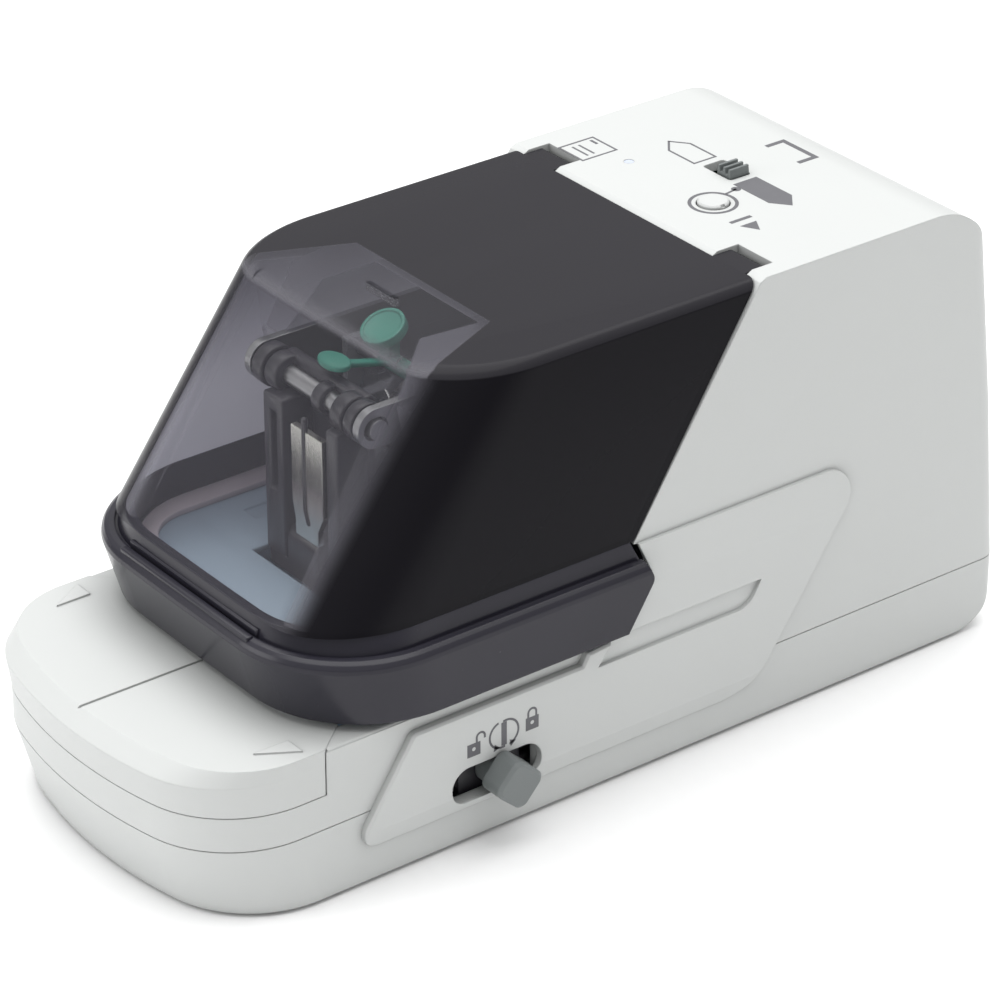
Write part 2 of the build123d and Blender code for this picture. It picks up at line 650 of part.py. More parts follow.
spring_low = BOARD_Z + BOARD_THICK + 0.3
spring_height = TOP_Z - WALL - 1.2 - 0.3 - spring_low
with BuildPart() as start_spring:
    with BuildLine() as coil:
        Helix(spring_height / 4, spring_height, 4.0, center=(START_XY[0], START_XY[1], spring_low))
    with BuildSketch(Plane(origin=coil.line @ 0, z_dir=coil.line % 0)):
        Circle(0.22)
    sweep()
save(start_spring, "start_spring")

knob_low = TOP_Z - WALL - 1.4
with BuildPart() as mode_knob:
    knob_place = (MODE_KNOB_X, MODE_XY[1])
    with BuildSketch(Plane.XY.offset(knob_low)):
        with Locations(knob_place):
            Rectangle(6.4, 8.0)
    extrude(amount=1.1)
    with BuildSketch(Plane.XY.offset(knob_low - 1.0)):
        with Locations(knob_place):
            Rectangle(4.6, 5.2)
    extrude(amount=TOP_Z + 0.7 - knob_low + 1.0)
    for ridge in (-1.8, 0, 1.8):
        with BuildSketch(Plane.XZ.offset(-MODE_XY[1] - 2.6)):
            with BuildLine():
                Polyline(
                    (MODE_KNOB_X + ridge - 0.5, TOP_Z + 0.5), (MODE_KNOB_X + ridge + 0.5, TOP_Z + 0.5),
                    (MODE_KNOB_X + ridge + 0.3, TOP_Z + 2.1), (MODE_KNOB_X + ridge - 0.3, TOP_Z + 2.1),
                    close=True,
                )
            make_face()
        extrude(amount=5.2)
save(mode_knob, "mode_knob")

with BuildPart() as led_light_pipe:
    with BuildSketch(Plane.XY.offset(BOARD_Z + BOARD_THICK + 1.6)):
        with Locations(LED_XY):
            Circle(LED_R)
    extrude(amount=TOP_Z - 0.1 - BOARD_Z - BOARD_THICK - 1.6)
save(led_light_pipe, "led_light_pipe")

with BuildPart() as control_board:
    add(block((-24, 16), (42, 77), (BOARD_Z, BOARD_Z + BOARD_THICK)))
save(control_board, "control_board")

board_top = BOARD_Z + BOARD_THICK
with BuildPart() as start_switch:
    x, y = START_XY
    add(block((x - 2.4, x + 2.4), (y - 2.4, y + 2.4), (board_top, board_top + 1.7)))
    with BuildSketch(Plane.XY.offset(board_top + 1.7)):
        with Locations(START_XY):
            Circle(1.3)
    extrude(amount=0.7)
save(start_switch, "start_switch")

with BuildPart() as mode_switch:
    x, y = MODE_XY
    add(block((x - 4.5, x + 4.5), (y - 2.0, y + 2.0), (board_top, board_top + 2.4)))
save(mode_switch, "mode_switch")

with BuildPart() as status_led:
    with BuildSketch(Plane.XY.offset(board_top)):
        with Locations(LED_XY):
            Circle(1.5)
    extrude(amount=1.4)
save(status_led, "status_led")

with BuildPart() as power_inlet:
    with BuildSketch(Plane.XZ.offset(-97)):
        with Locations((-28, 28)):
            Rectangle(10, 11)
    extrude(amount=-9)
    with BuildSketch(Plane.XZ.offset(-105)):
        with Locations((-28, 28)):
            Circle(4.2)
    extrude(amount=-4.6)
    with BuildSketch(Plane.XZ.offset(-100)):
        with Locations((-28, 28)):
            Circle(2.8)
            Circle(1.0, mode=Mode.SUBTRACT)
    extrude(amount=-12, mode=Mode.SUBTRACT)
save(power_inlet, "power_inlet")

# ---------------------------------------------------------------- paper guide with its lock knob
RAIL_XZ = (38.6, 11.4)
RAIL_R = 1.5
with BuildPart() as carriage_rail:
    with BuildSketch(Plane.XZ.offset(62)):
        with Locations(RAIL_XZ):
            Circle(RAIL_R)
    extrude(amount=-56)
save(carriage_rail, "carriage_rail")

with BuildPart() as rail_holders:
    for y_low in (-62, -9):
        add(block((35.6, 40.6), (y_low, y_low + 3), (FLOOR_Z, 15)))
    with BuildSketch(Plane.XZ.offset(70)):
        with Locations(RAIL_XZ):
            Circle(RAIL_R)
    extrude(amount=-70, mode=Mode.SUBTRACT)
save(rail_holders, "rail_holders")

with BuildPart() as depth_carriage:
    add(block((35, 41.6), (KNOB_Y - 8, KNOB_Y + 8), (9.2, 20.5)))
    add(block((29.2, 35), (KNOB_Y - 1, KNOB_Y + 2), (13, 18)))
    add(block((29.2, 33), (KNOB_Y - 1, KNOB_Y + 2), (18, 43)))
    with BuildSketch(Plane.XZ.offset(70)):
        with Locations(RAIL_XZ):
            Circle(RAIL_R + RUNNING)
    extrude(amount=-70, mode=Mode.SUBTRACT)
    with BuildSketch(Plane.YZ.offset(36)):
        with Locations((KNOB_Y, KNOB_Z)):
            Circle(KNOB_PIN_R + RUNNING)
    extrude(amount=10, mode=Mode.SUBTRACT)
    fillet(depth_carriage.edges().filter_by(Axis.X).sort_by(Axis.Z)[-1:], 0.3)
save(depth_carriage, "depth_carriage")

with BuildPart() as paper_stop:
    add(block((-24, 33), (KNOB_Y + 2, KNOB_Y + 3.6), (TABLE_Z + 1.2, 43)))
save(paper_stop, "paper_stop")

with BuildPart() as lock_knob:
    add(rod(KNOB_PIN_R, (37, 41.9), (KNOB_Y, KNOB_Z)))
    add(rod(KNOB_STEM_R, (41.9, PANEL_FACE + 0.6), (KNOB_Y, KNOB_Z)))
    paddle_plane = Plane(origin=(PANEL_FACE + 0.6, KNOB_Y, KNOB_Z), x_dir=(0, 1, 0), z_dir=(1, 0, 0))
    with BuildSketch(paddle_plane):
        RectangleRounded(9.1, 9.6, 2.2, rotation=KNOB_TILT)
    extrude(amount=6.1)
    chamfer(lock_knob.faces().filter_by(Axis.X).sort_by(Axis.X)[-1].edges(), 0.7)
save(lock_knob, "lock_knob")

# ---------------------------------------------------------------- paper sensor lever
with BuildPart() as sensor_lever:
    with BuildSketch(Plane.YZ.offset(-30.9)):
        with Locations(SENSOR_YZ):
            Circle(3.0)
        with BuildLine():
            Polyline(
                (SENSOR_YZ[0], SENSOR_YZ[1] - 3), (-29, 31), (-29, 38.0), (-27.6, 38.6),
                (-26, 33.5), (SENSOR_YZ[0], SENSOR_YZ[1] + 3), close=True,
            )
        make_face()
        with Locations(SENSOR_YZ):
            Circle(SENSOR_PIN_R + RUNNING, mode=Mode.SUBTRACT)
    extrude(amount=2.8)
save(sensor_lever, "sensor_lever")

with BuildPart() as sensor_pin:
    add(rod(SENSOR_PIN_R, (-33.5, -25.5), SENSOR_YZ))
save(sensor_pin, "sensor_pin")

# ---------------------------------------------------------------- clincher
with BuildPart() as clincher:
    add(block((-11.5, 11.5), (-59.5, -38.5), (FLOOR_Z, TABLE_Z + 0.2)))
    add(block((-8, 8), (-66, -50), (FLOOR_Z + 3, 30)), mode=Mode.SUBTRACT)
save(clincher, "clincher")

with BuildPart() as anvil_plate:
    add(block((-9, 9), (-56, -45), (TABLE_Z + 0.2, TABLE_Z + 1.2)))
    add(block((-6.5, 6.5), (-51.6, -50), (TABLE_Z + 0.8, TABLE_Z + 2)), mode=Mode.SUBTRACT)
save(anvil_plate, "anvil_plate")

# ---------------------------------------------------------------- chassis
for name, side in (("chassis_plate_left", -1), ("chassis_plate_right", 1)):
    with BuildPart() as chassis_plate:
        with BuildSketch(Plane.YZ.offset(side * CHASSIS_X - SHEET / 2)):
            with BuildLine():
                Polyline(
                    (-36, 44.2), (13.5, 44.2), (13.5, FLOOR_Z), (96, FLOOR_Z), (96, 66), (88, 80),
                    (48, 96), (-30, 96), (-36, 90), close=True,
                )
            make_face()
            with Locations(PIVOT_YZ):
                Circle(SHAFT_R, mode=Mode.SUBTRACT)
            with Locations(CAM_YZ):
                Circle(6.0, mode=Mode.SUBTRACT)
            with Locations(IDLER_ONE_YZ, IDLER_TWO_YZ):
                Circle(AXLE_R, mode=Mode.SUBTRACT)
            with Locations((-10, 66)):
                SlotOverall(30, 16, mode=Mode.SUBTRACT)
            if side < 0:
                with Locations(MOTOR_YZ):
                    Circle(MOTOR_R + 0.2, mode=Mode.SUBTRACT)
        extrude(amount=SHEET)
    save(chassis_plate, name)

with BuildPart() as chassis_spacers:
    for place in ((20, 12), (88, 12), (91, 30), (13, 72), (-32, 46.9)):
        add(rod(2.2, (-CHASSIS_IN, CHASSIS_IN), place))
save(chassis_spacers, "chassis_spacers")

with BuildPart() as pivot_shaft:
    add(rod(SHAFT_R, (-24, 24), PIVOT_YZ))
save(pivot_shaft, "pivot_shaft")

with BuildPart() as gear_axles:
    add(rod(AXLE_R, (-CHASSIS_OUT, CHASSIS_OUT), IDLER_ONE_YZ))
    add(rod(AXLE_R, (-CHASSIS_OUT, CHASSIS_OUT), IDLER_TWO_YZ))
save(gear_axles, "gear_axles")

with BuildPart() as shaft_bushes:
    for side in (-1, 1):
        add(rod(6.0, (side * CHASSIS_X - 1.6, side * CHASSIS_X + 1.6), CAM_YZ))
    add(rod(CAM_SHAFT_R + RUNNING, (-30, 30), CAM_YZ), mode=Mode.SUBTRACT)
save(shaft_bushes, "shaft_bushes")

with BuildPart() as head_guides:
    for side in (-1, 1):
        inner, outer = sorted((side * 17.7, side * CHASSIS_IN))
        add(block((inner, outer), (-40.5, -34.5), (54, GUIDE_TOP_Z)))
save(head_guides, "head_guides")

with BuildPart() as cartridge_bed:
    add(block((-CHASSIS_IN, CHASSIS_IN), (-29, 12), (47.6, 49.2)))
save(cartridge_bed, "cartridge_bed")

with BuildPart() as motor:
    add(rod(MOTOR_R, (-33, -6), MOTOR_YZ))
    add(rod(5.0, (-35, -33), MOTOR_YZ))
    add(rod(3.0, (-6, -4.6), MOTOR_YZ))
    add(rod(1.0 + RUNNING, (-20, 0), MOTOR_YZ), mode=Mode.SUBTRACT)
save(motor, "motor")

with BuildPart() as motor_bracket:
    add(block((-6, -4.6), (MOTOR_YZ[0] - 14, MOTOR_YZ[0] + 14), (FLOOR_Z, 32)))
    add(rod(3.0, (-8, -4), MOTOR_YZ), mode=Mode.SUBTRACT)
    add(rod(AXLE_R + 0.4, (-8, -4), IDLER_ONE_YZ), mode=Mode.SUBTRACT)
save(motor_bracket, "motor_bracket")


# ---------------------------------------------------------------- gears
def gear(teeth, thickness, x_low, centre, tooth_angle, bore):
    """Spur gear about X with one tooth centred on tooth_angle (degrees in the Y-Z plane)."""
    pitch_r = MODULE * teeth / 2
    base_r = pitch_r * cos(radians(20))
    backlash = 0.16
    half_pitch = pi / (2 * teeth) - backlash / (2 * pitch_r)
    lead = sqrt((pitch_r / base_r) ** 2 - 1) - acos(base_r / pitch_r)
    radii = [pitch_r - 1.25 * MODULE, pitch_r - 0.5 * MODULE, pitch_r, pitch_r + 0.9 * MODULE]
    flank = []
    for r in radii:
        ratio = max(r / base_r, 1.0)
        roll = sqrt(ratio**2 - 1) - acos(1 / ratio)
        flank.append((r, half_pitch + lead - roll))
    points = []
    for tooth in range(teeth):
        middle = radians(tooth_angle) + 2 * pi * tooth / teeth
        for r, half in flank:
            points.append((r * cos(middle - half), r * sin(middle - half)))
        for r, half in reversed(flank):
            points.append((r * cos(middle + half), r * sin(middle + half)))
    with BuildPart() as wheel:
        with BuildSketch(Plane.YZ.offset(x_low)):
            with Locations(centre):
                with BuildLine():
                    Polyline(*[(centre[0] + y, centre[1] + z) for y, z in points], close=True)
                make_face()
                Circle(bore, mode=Mode.SUBTRACT)
        extrude(amount=thickness)
    return wheel.part


def bearing(start, end):
    """Direction from one centre to another in the Y-Z plane, in degrees."""
    return degrees(atan2(end[1] - start[1], end[0] - start[0]))


def gap_facing(teeth, own, other):
    """Tooth angle that turns the middle of a gap towards the mating gear."""
    return bearing(own, other) + 180.0 / teeth


with BuildPart() as cam_gear:
    toward_idler = bearing(CAM_YZ, IDLER_TWO_YZ)
    add(gear(CAM_GEAR_TEETH, GEAR_THICK, 9, CAM_YZ, toward_idler, CAM_SHAFT_R))
save(cam_gear, "cam_gear")

with BuildPart() as cam_shaft:
    add(rod(CAM_SHAFT_R, (-25, 25), CAM_YZ))
save(cam_shaft, "cam_shaft")

with BuildPart() as idler_gear_two:
    small_angle = gap_facing(PINION_TEETH, IDLER_TWO_YZ, CAM_YZ)
    big_angle = bearing(IDLER_TWO_YZ, IDLER_ONE_YZ)
    add(gear(IDLER_TEETH, GEAR_THICK, 3, IDLER_TWO_YZ, big_angle, AXLE_R + RUNNING))
    add(gear(PINION_TEETH, GEAR_THICK + 2.4, 7, IDLER_TWO_YZ, small_angle, AXLE_R + RUNNING))
save(idler_gear_two, "idler_gear_two")

with BuildPart() as idler_gear_one:
    small_angle = gap_facing(PINION_TEETH, IDLER_ONE_YZ, IDLER_TWO_YZ)
    big_angle = bearing(IDLER_ONE_YZ, MOTOR_YZ)
    add(gear(IDLER_TEETH, GEAR_THICK, -3, IDLER_ONE_YZ, big_angle, AXLE_R + RUNNING))
    add(gear(PINION_TEETH, GEAR_THICK + 2.2, 1, IDLER_ONE_YZ, small_angle, AXLE_R + RUNNING))
save(idler_gear_one, "idler_gear_one")

with BuildPart() as motor_pinion:
    pinion_angle = gap_facing(PINION_TEETH, MOTOR_YZ, IDLER_ONE_YZ)
    add(gear(PINION_TEETH, GEAR_THICK + 0.6, -3.4, MOTOR_YZ, pinion_angle, 1.0))
save(motor_pinion, "motor_pinion")

with BuildPart() as motor_shaft:
    add(rod(1.0, (-18, 1.6), MOTOR_YZ))
save(motor_shaft, "motor_shaft")


# ---------------------------------------------------------------- cams, arms and staple head
def cam_outline():
    """Cam profile that lifts the arm roller in proportion to the cam's turn."""
    arm_turn = HEAD_STROKE / (PIVOT_YZ[0] - HEAD_YZ[0])
    reach_y = ROLLER_YZ[0] - PIVOT_YZ[0]
    reach_z = ROLLER_YZ[1] - PIVOT_YZ[1]
    steps = 12
    lift = []
    for step in range(-1, steps + 2):
        share = step / steps
        swing = arm_turn * share
        roller_y = PIVOT_YZ[0] + reach_y * cos(swing) - reach_z * sin(swing) - CAM_YZ[0]
        roller_z = PIVOT_YZ[1] + reach_y * sin(swing) + reach_z * cos(swing) - CAM_YZ[1]
        radius = hypot(roller_y, roller_z) - ROLLER_R - CAM_CLEAR
        direction = atan2(roller_z, roller_y) - CAM_STROKE * share
        lift.append((CAM_YZ[0] + radius * cos(direction), CAM_YZ[1] + radius * sin(direction)))
    return lift


cam_points = cam_outline()
for name, x_low in (("drive_cam_left", -18.1), ("drive_cam_right", 15.5)):
    with BuildPart() as drive_cam:
        with BuildSketch(Plane.YZ.offset(x_low)):
            with BuildLine():
                Spline(*cam_points)
                Line(cam_points[-1], (CAM_YZ[0] - 4, CAM_YZ[1] - 9.0))
                ThreePointArc(
                    (CAM_YZ[0] - 4, CAM_YZ[1] - 9.0), (CAM_YZ[0] - 9.6, CAM_YZ[1]), cam_points[0]
                )
            make_face()
            with Locations(CAM_YZ):
                Circle(CAM_SHAFT_R, mode=Mode.SUBTRACT)
        extrude(amount=2.6)
    save(drive_cam, name)

arm_mid_front = ((HEAD_YZ[0] + PIVOT_YZ[0]) / 2, (HEAD_YZ[1] + PIVOT_YZ[1]) / 2)
arm_mid_rear = ((ROLLER_YZ[0] + PIVOT_YZ[0]) / 2, (ROLLER_YZ[1] + PIVOT_YZ[1]) / 2)
for name, side in (("drive_arm_left", -1), ("drive_arm_right", 1)):
    with BuildPart() as drive_arm:
        with BuildSketch(Plane.YZ.offset(side * ARM_X - ARM_SHEET / 2)):
            SlotCenterPoint(arm_mid_front, PIVOT_YZ, 9)
            SlotCenterPoint(arm_mid_rear, ROLLER_YZ, 9)
            with Locations(PIVOT_YZ):
                Circle(5.6)
            with Locations(HEAD_YZ):
                SlotOverall(2 * HEAD_SHAFT_R + 1.6, 2 * HEAD_SHAFT_R + 0.6, mode=Mode.SUBTRACT)
            with Locations(PIVOT_YZ):
                Circle(SHAFT_R + RUNNING, mode=Mode.SUBTRACT)
            with Locations(ROLLER_YZ):
                Circle(2.0, mode=Mode.SUBTRACT)
        extrude(amount=ARM_SHEET)
    save(drive_arm, name)

arm_inside = ARM_X - ARM_SHEET / 2
with BuildPart() as arm_rollers:
    for side in (-1, 1):
        add(rod(ROLLER_R, sorted((side * 15.6, side * 18.2)), ROLLER_YZ))
        add(rod(2.0, sorted((side * 15.0, side * 21.0)), ROLLER_YZ))
save(arm_rollers, "arm_rollers")

with BuildPart() as arm_crossbar:
    add(rod(2.5, (-arm_inside, arm_inside), (14, 90)))
save(arm_crossbar, "arm_crossbar")

with BuildPart() as head_shaft:
    add(rod(HEAD_SHAFT_R, (-21.4, 21.4), HEAD_YZ))
save(head_shaft, "head_shaft")

with BuildPart() as head_rollers:
    for side in (-1, 1):
        add(rod(4.9, sorted((side * 14.6, side * 18.0)), HEAD_YZ))
    add(rod(HEAD_SHAFT_R, (-22, 22), HEAD_YZ), mode=Mode.SUBTRACT)
save(head_rollers, "head_rollers")

with BuildPart() as head_block:
    add(block((-14, 14), (-49.2, -41.0), (84, 94.5)))
    add(block((-14, -8.5), (-50, -43), (47, 84)))
    add(block((8.5, 14), (-50, -43), (47, 84)))
    add(block((-14, 14), (-43.5, -41.0), (58, 84)))
    add(block((-14, 14), (-52, -41.0), (TABLE_Z + 9.6, 58)))
    add(block((-5.5, 5.5), (-60, -40), (63, 80)), mode=Mode.SUBTRACT)
    top_front = head_block.edges().filter_by(Axis.X).sort_by_distance((0, -49.2, 94.5))[0]
    chamfer(top_front, 2.0)
    add(rod(HEAD_SHAFT_R, (-22, 22), HEAD_YZ), mode=Mode.SUBTRACT)
save(head_block, "head_block")

with BuildPart() as driver_plate:
    with BuildSketch(Plane.XZ.offset(50.0)):
        with BuildLine():
            Polyline(
                (-1.5, 84), (9.5, 84), (9.5, 66), (7.5, 62),
                (7.5, 58.4), (-0.5, 58.4), (-0.5, 62), (-1.5, 66),
                close=True,
            )
        make_face()
    extrude(amount=1.6)
save(driver_plate, "driver_plate")

# ---------------------------------------------------------------- cartridge and its green release lever
with BuildPart() as cartridge_case:
    add(block((-16, 16), (-39.5, 10), (49.6, 80)))
    fillet(cartridge_case.edges().filter_by(Axis.X).sort_by(Axis.Z)[-2:], 6.0)
    add(block((-14.6, 14.6), (-37, 8.6), (51, 90)), mode=Mode.SUBTRACT)
    for ear_x in (-15.1, 15.1):
        add(block((ear_x - 0.9, ear_x + 0.9), (LEVER_YZ[0] - 4, LEVER_YZ[0] + 4), (78, LEVER_YZ[1] + 3)))
    add(rod(1.5, (-17, 17), LEVER_YZ), mode=Mode.SUBTRACT)
save(cartridge_case, "cartridge_case")

with BuildPart() as staple_roll:
    add(rod(13.0, (-13.5, 13.5), (-8, 65.5)))
    add(rod(4.0, (-14, 14), (-8, 65.5)), mode=Mode.SUBTRACT)
save(staple_roll, "staple_roll")

with BuildPart() as lever_pin:
    add(rod(1.5, (-16, 16), LEVER_YZ))
save(lever_pin, "lever_pin")

with BuildPart() as release_lever:
    with BuildSketch(Plane.YZ.offset(-8)):
        with BuildLine():
            Polyline(
                (-46, 95.6), (-46, 97.0), (-30, 98.0), (-22, 92.5), (-20.5, 88), (-24, 84.8),
                (-27.5, 88), (-32, 95.6), close=True,
            )
        make_face()
    extrude(amount=12)
    add(block((4, 12), (-30, -21), (86, 90)))
    with BuildSketch(Plane.XZ.offset(28)):
        with Locations((-4, 98)):
            Circle(5.2)
    extrude(amount=-2.4)
    add(rod(1.5 + RUNNING, (-22, 22), LEVER_YZ), mode=Mode.SUBTRACT)
save(release_lever, "release_lever")
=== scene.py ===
import json
from contextlib import contextmanager
from math import pi, radians, sqrt, tan

import bmesh
import bpy
from bpy.props import FloatProperty, FloatVectorProperty, PointerProperty
from mathutils import Matrix, Vector


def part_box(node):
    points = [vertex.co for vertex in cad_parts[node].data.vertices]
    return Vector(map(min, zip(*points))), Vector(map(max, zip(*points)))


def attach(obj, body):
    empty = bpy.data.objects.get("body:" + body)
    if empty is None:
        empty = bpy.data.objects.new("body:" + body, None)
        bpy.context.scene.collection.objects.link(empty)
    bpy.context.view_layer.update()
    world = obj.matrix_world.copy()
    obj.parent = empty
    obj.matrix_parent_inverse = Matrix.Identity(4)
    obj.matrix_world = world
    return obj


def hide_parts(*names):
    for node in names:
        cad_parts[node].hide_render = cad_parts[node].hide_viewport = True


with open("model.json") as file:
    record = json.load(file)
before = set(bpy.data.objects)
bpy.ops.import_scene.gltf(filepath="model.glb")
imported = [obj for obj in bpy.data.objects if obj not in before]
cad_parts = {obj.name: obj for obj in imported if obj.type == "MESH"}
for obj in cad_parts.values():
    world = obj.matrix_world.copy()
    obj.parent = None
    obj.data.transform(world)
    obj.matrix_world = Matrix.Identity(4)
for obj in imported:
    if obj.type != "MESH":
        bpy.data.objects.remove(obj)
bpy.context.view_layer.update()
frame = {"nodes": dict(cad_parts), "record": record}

bl_info = {
    "name": "Electric stapler maker",
    "version": (1, 0, 0),
    "blender": (4, 5, 0),
    "location": "View3D > Sidebar > Stapler",
    "description": "Dresses a CAD frame of a desk-top electric stapler",
    "category": "Add Mesh",
}

HOOD_LOW, HOOD_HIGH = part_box("cover_hood")
FRAME_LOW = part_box("cover_frame")[0]
HOUSING_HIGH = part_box("rear_housing")[1]
PANEL_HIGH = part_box("side_panel_right")[1]
BUTTON_LOW, BUTTON_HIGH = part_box("start_button")
PIN_LOW, PIN_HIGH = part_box("cover_hinge_pins")
SHAFT_LOW, SHAFT_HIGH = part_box("head_shaft")
LEVER_LOW, LEVER_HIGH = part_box("release_lever")
BLOCK_LOW, BLOCK_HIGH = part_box("head_block")
HOOD_TOP = 0.1074
HOOD_HALF_TOP = 0.042
REAR_EDGE_TOP_Y = 0.0372
REAR_EDGE_LOW_Y = 0.00305
ROOF_WINDOW_REAR = -0.0184
ROOF_WINDOW_FRONT = -0.0400
LUG_X = 0.0325
LUG_HALF = 0.0053
BEAD_RISE = 0.0156
STEP_HALF = 0.0235
RAIL_INNER, RAIL_OUTER = 0.0379, 0.0443
RAIL_FRONT, RAIL_REAR = -0.0758, -0.0030
RAIL_LOW, RAIL_HIGH = 0.0325, 0.0365
GUIDE_Z = 0.0486
GUIDE_THICK = 0.0014
GUIDE_FRONT = -0.0733
GUIDE_REAR = 0.0060
GUIDE_HALF = 0.0419
GUIDE_CORNER = 0.020
RIM_WIDTH = 0.0058
RIM_RISE = 0.0014
HEAD_LEFT = -0.0125
HEAD_LEG_TOP = 0.0872
GAP_LEFT, GAP_RIGHT = -0.0101, -0.0079
GAP_FOOT, GAP_HEAD = 0.0650, 0.0835
PAD_X, PAD_Y = 0.0016, -0.0424
CAMERA_PLACE = (0.64635, -0.4923, 0.501)
CAMERA_LOOK = (-0.6942, 0.5307, -0.4861)
CAMERA_LENS = 154.17
CAMERA_SENSOR = 36.0
HORIZON_STRENGTH = 0.20
ZENITH_STRENGTH = 1.05
OVERHEAD_POWER = 9.5
FRONT_POWER = 3.0


# ------------------------------------------------------------------ sizes and colours
class StaplerSizes(bpy.types.PropertyGroup):
    hood_corner: FloatProperty(
        name="Hood corner", description="Plan radius of the hood's front corners",
        default=0.025, unit="LENGTH",
    )
    hood_bow: FloatProperty(
        name="Hood bow", description="Plan radius of the bowed front", default=1.5, unit="LENGTH",
    )
    hood_wall: FloatProperty(
        name="Hood wall", description="Wall of the hood moulding", default=0.0018, unit="LENGTH",
    )
    hood_shear: FloatProperty(
        name="Hood shear", description="Rearward lean of the hood for each unit of height", default=0.686,
    )
    crown_round: FloatProperty(
        name="Crown round", description="Round along the hood's upper edge", default=0.0025, unit="LENGTH",
    )
    window_half: FloatProperty(
        name="Window half width", description="Half the width of the clear window at the hood's foot",
        default=0.030, unit="LENGTH",
    )
    ink_lift: FloatProperty(
        name="Ink lift", description="How far a printed mark stands off its surface",
        default=0.00004, unit="LENGTH",
    )
    edge_soft: FloatProperty(
        name="Edge softness", description="Radius of a moulded plastic edge", default=0.00045, unit="LENGTH",
    )


class StaplerColours(bpy.types.PropertyGroup):
    shell: FloatVectorProperty(
        name="Shell", description="Light grey casing plastic", default=(0.545, 0.558, 0.55), subtype="COLOR",
    )
    smoke: FloatVectorProperty(
        name="Smoke", description="Smoked hood plastic", default=(0.006, 0.0055, 0.0075), subtype="COLOR",
    )
    smoke_tint: FloatVectorProperty(
        name="Window tint", description="Tint of the clear window",
        default=(0.075, 0.073, 0.085), subtype="COLOR",
    )
    bumper: FloatVectorProperty(
        name="Cover frame", description="Dark frame round the hood's foot",
        default=(0.020, 0.019, 0.027), subtype="COLOR",
    )
    lever: FloatVectorProperty(
        name="Grey controls", description="Lock knob and mode knob",
        default=(0.16, 0.175, 0.175), subtype="COLOR",
    )
    plate: FloatVectorProperty(
        name="Table plate", description="Pale blue table under the head",
        default=(0.40, 0.50, 0.60), subtype="COLOR",
    )
    green: FloatVectorProperty(
        name="Release lever", description="Green lever on the cartridge",
        default=(0.04, 0.24, 0.18), subtype="COLOR",
    )
    ink: FloatVectorProperty(
        name="Print", description="Grey print on the casing", default=(0.115, 0.115, 0.125), subtype="COLOR",
    )


def sizes():
    return bpy.context.scene.stapler_sizes


def colours():
    return bpy.context.scene.stapler_colours


# ------------------------------------------------------------------ shader expressions
class Wire:
    """A shader value that adds its own Math nodes when it is used in an expression."""

    def __init__(self, finish, socket):
        self.finish = finish
        self.socket = socket

    def math(self, operation, *others, clamp=False):
        settings = {"operation": operation, "use_clamp": clamp}
        inputs = {0: self}
        inputs.update({place + 1: other for place, other in enumerate(others)})
        return self.finish.wire("ShaderNodeMath", settings, inputs)

    def __add__(self, other):
        return self.math("ADD", other)

    def __radd__(self, other):
        return self.math("ADD", other)

    def __sub__(self, other):
        return self.math("SUBTRACT", other)

    def __rsub__(self, other):
        return self.finish.wire("ShaderNodeMath", {"operation": "SUBTRACT"}, {0: other, 1: self})

    def __mul__(self, other):
        return self.math("MULTIPLY", other)

    def __rmul__(self, other):
        return self.math("MULTIPLY", other)

    def __truediv__(self, other):
        return self.math("DIVIDE", other)

    def __pow__(self, other):
        return self.math("POWER", other)

    def magnitude(self):
        return self.math("ABSOLUTE")

    def lesser(self, other):
        return self.math("MINIMUM", other)

    def greater(self, other):
        return self.math("MAXIMUM", other)

    def clamped(self):
        return self.math("ADD", 0.0, clamp=True)

    def ease(self, low, high):
        """0 below low, 1 above high, smooth between."""
        settings = {"interpolation_type": "SMOOTHSTEP"}
        inputs = {"Value": self, "From Min": low, "From Max": high}
        return self.finish.wire("ShaderNodeMapRange", settings, inputs, "Result")


